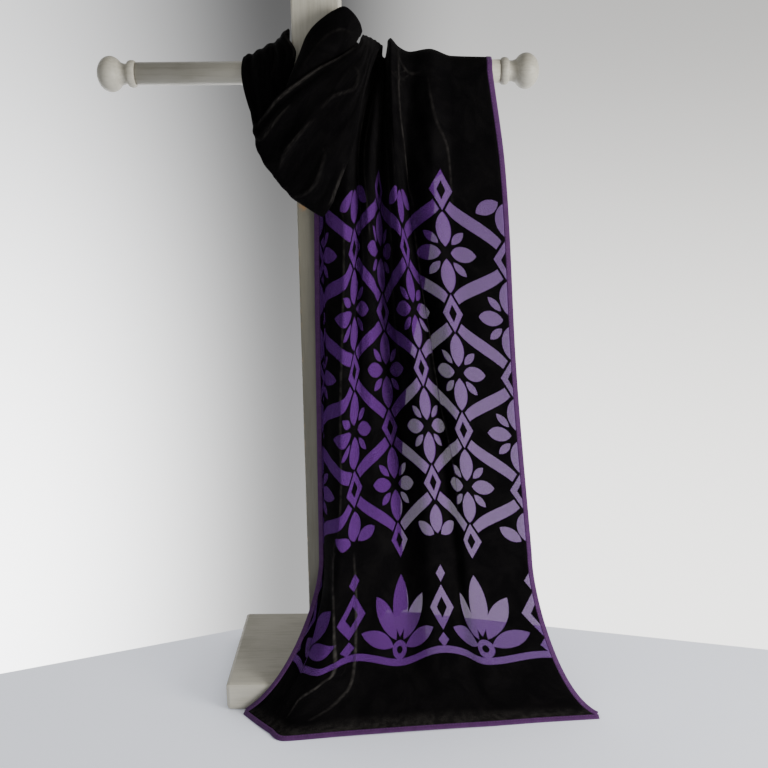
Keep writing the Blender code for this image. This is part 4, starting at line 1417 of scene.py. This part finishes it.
def slab(name, outline, depth):
    """A closed slab with flat faces, under an outline in the table's plane."""
    count = len(outline)
    points = [(x, y, z) for z in (0.0, -depth) for x, y in outline]
    faces = [tuple(range(count)), tuple(range(count, 2 * count))]
    faces += [(i, (i + 1) % count, count + (i + 1) % count, count + i) for i in range(count)]
    mesh = mesh_of(name, points, faces)
    mesh.shade_flat()
    return mesh


TABLE_COOL, TABLE_PALE = (0.72, 0.75, 0.84, 1), (0.78, 0.80, 0.87, 1)
TABLE_GLOW, SHADOW_REACH = 0.70, 0.18
LIGHT_AIM = (0.0, 0.0, 0.30)
table_finish, table_tree, table_shader = material("table_finish")
table_mottle = noise(table_tree, place_from(table_tree, "Object"), 9, detail=3)
table_tree.links.new(blend_colours(table_tree, table_mottle, TABLE_COOL, TABLE_PALE),
                     table_shader.inputs["Base Color"])
table_shader.inputs["Roughness"].default_value = 0.75
table_shader.inputs["Emission Color"].default_value = TABLE_COOL
open_to_room = add_node(table_tree, "ShaderNodeAmbientOcclusion", Distance=SHADOW_REACH)
glow = Number(table_tree, open_to_room.outputs["AO"]).by("POWER", 1.6) * TABLE_GLOW
plug(table_tree, table_shader.inputs["Emission Strength"], glow)
table = add_object("table", slab("table", TABLE_OUTLINE, TABLE_DEPTH))
table.data.materials.append(table_finish)


def soft_light(name, place, size, power, colour):
    """A square soft light that faces the middle of the scarf."""
    lamp = bpy.data.lights.new(name, "AREA")
    lamp.shape = "SQUARE"
    lamp.size = size
    lamp.energy = power
    lamp.color = colour
    light = add_object(name, lamp)
    light.location = place
    light.rotation_euler = (Vector(LIGHT_AIM) - Vector(place)).to_track_quat("-Z", "Y").to_euler()


soft_light("window_right", place=(1.35, -0.85, 0.50), size=0.7, power=31, colour=(1.0, 0.985, 0.95))
soft_light("fill_left", place=(-1.4, -1.2, 0.5), size=1.3, power=0.8, colour=(0.97, 0.98, 1.0))

ROOM_BRIGHT, ROOM_LEFT, ROOM_RIGHT = 5.6, 0.30, 0.62
world = bpy.data.worlds.new("pale_room")
bpy.context.scene.world = world
world.use_nodes = True
room = world.node_tree
room_x, room_y, room_z = parts_of(room, place_from(room, "Generated"))
left_wall = step_between(room_x, -0.42, -0.10, 1.0, 0.09)
right_wall = step_between(room_x, -0.10, 0.10, 0.0, 0.50)
from_above = step_between(room_z, -0.50, 0.20, 1.10, 0.26)
corner = most(left_wall, right_wall) * from_above * ROOM_BRIGHT
towards_corner = step_between(room_y, 0.45, 0.80)
round_about = step_between(room_x, -0.6, 0.5, ROOM_LEFT, ROOM_RIGHT)
strength = towards_corner * corner + (towards_corner * -1.0 + 1.0) * round_about
warm = step_between(room_x, -0.3, 0.4)
room_colour = blend_colours(room, warm, (0.985, 0.99, 1.0, 1), (1.0, 0.985, 0.955, 1))
room.links.new(room_colour, room.nodes["Background"].inputs["Color"])
plug(room, room.nodes["Background"].inputs["Strength"], strength)
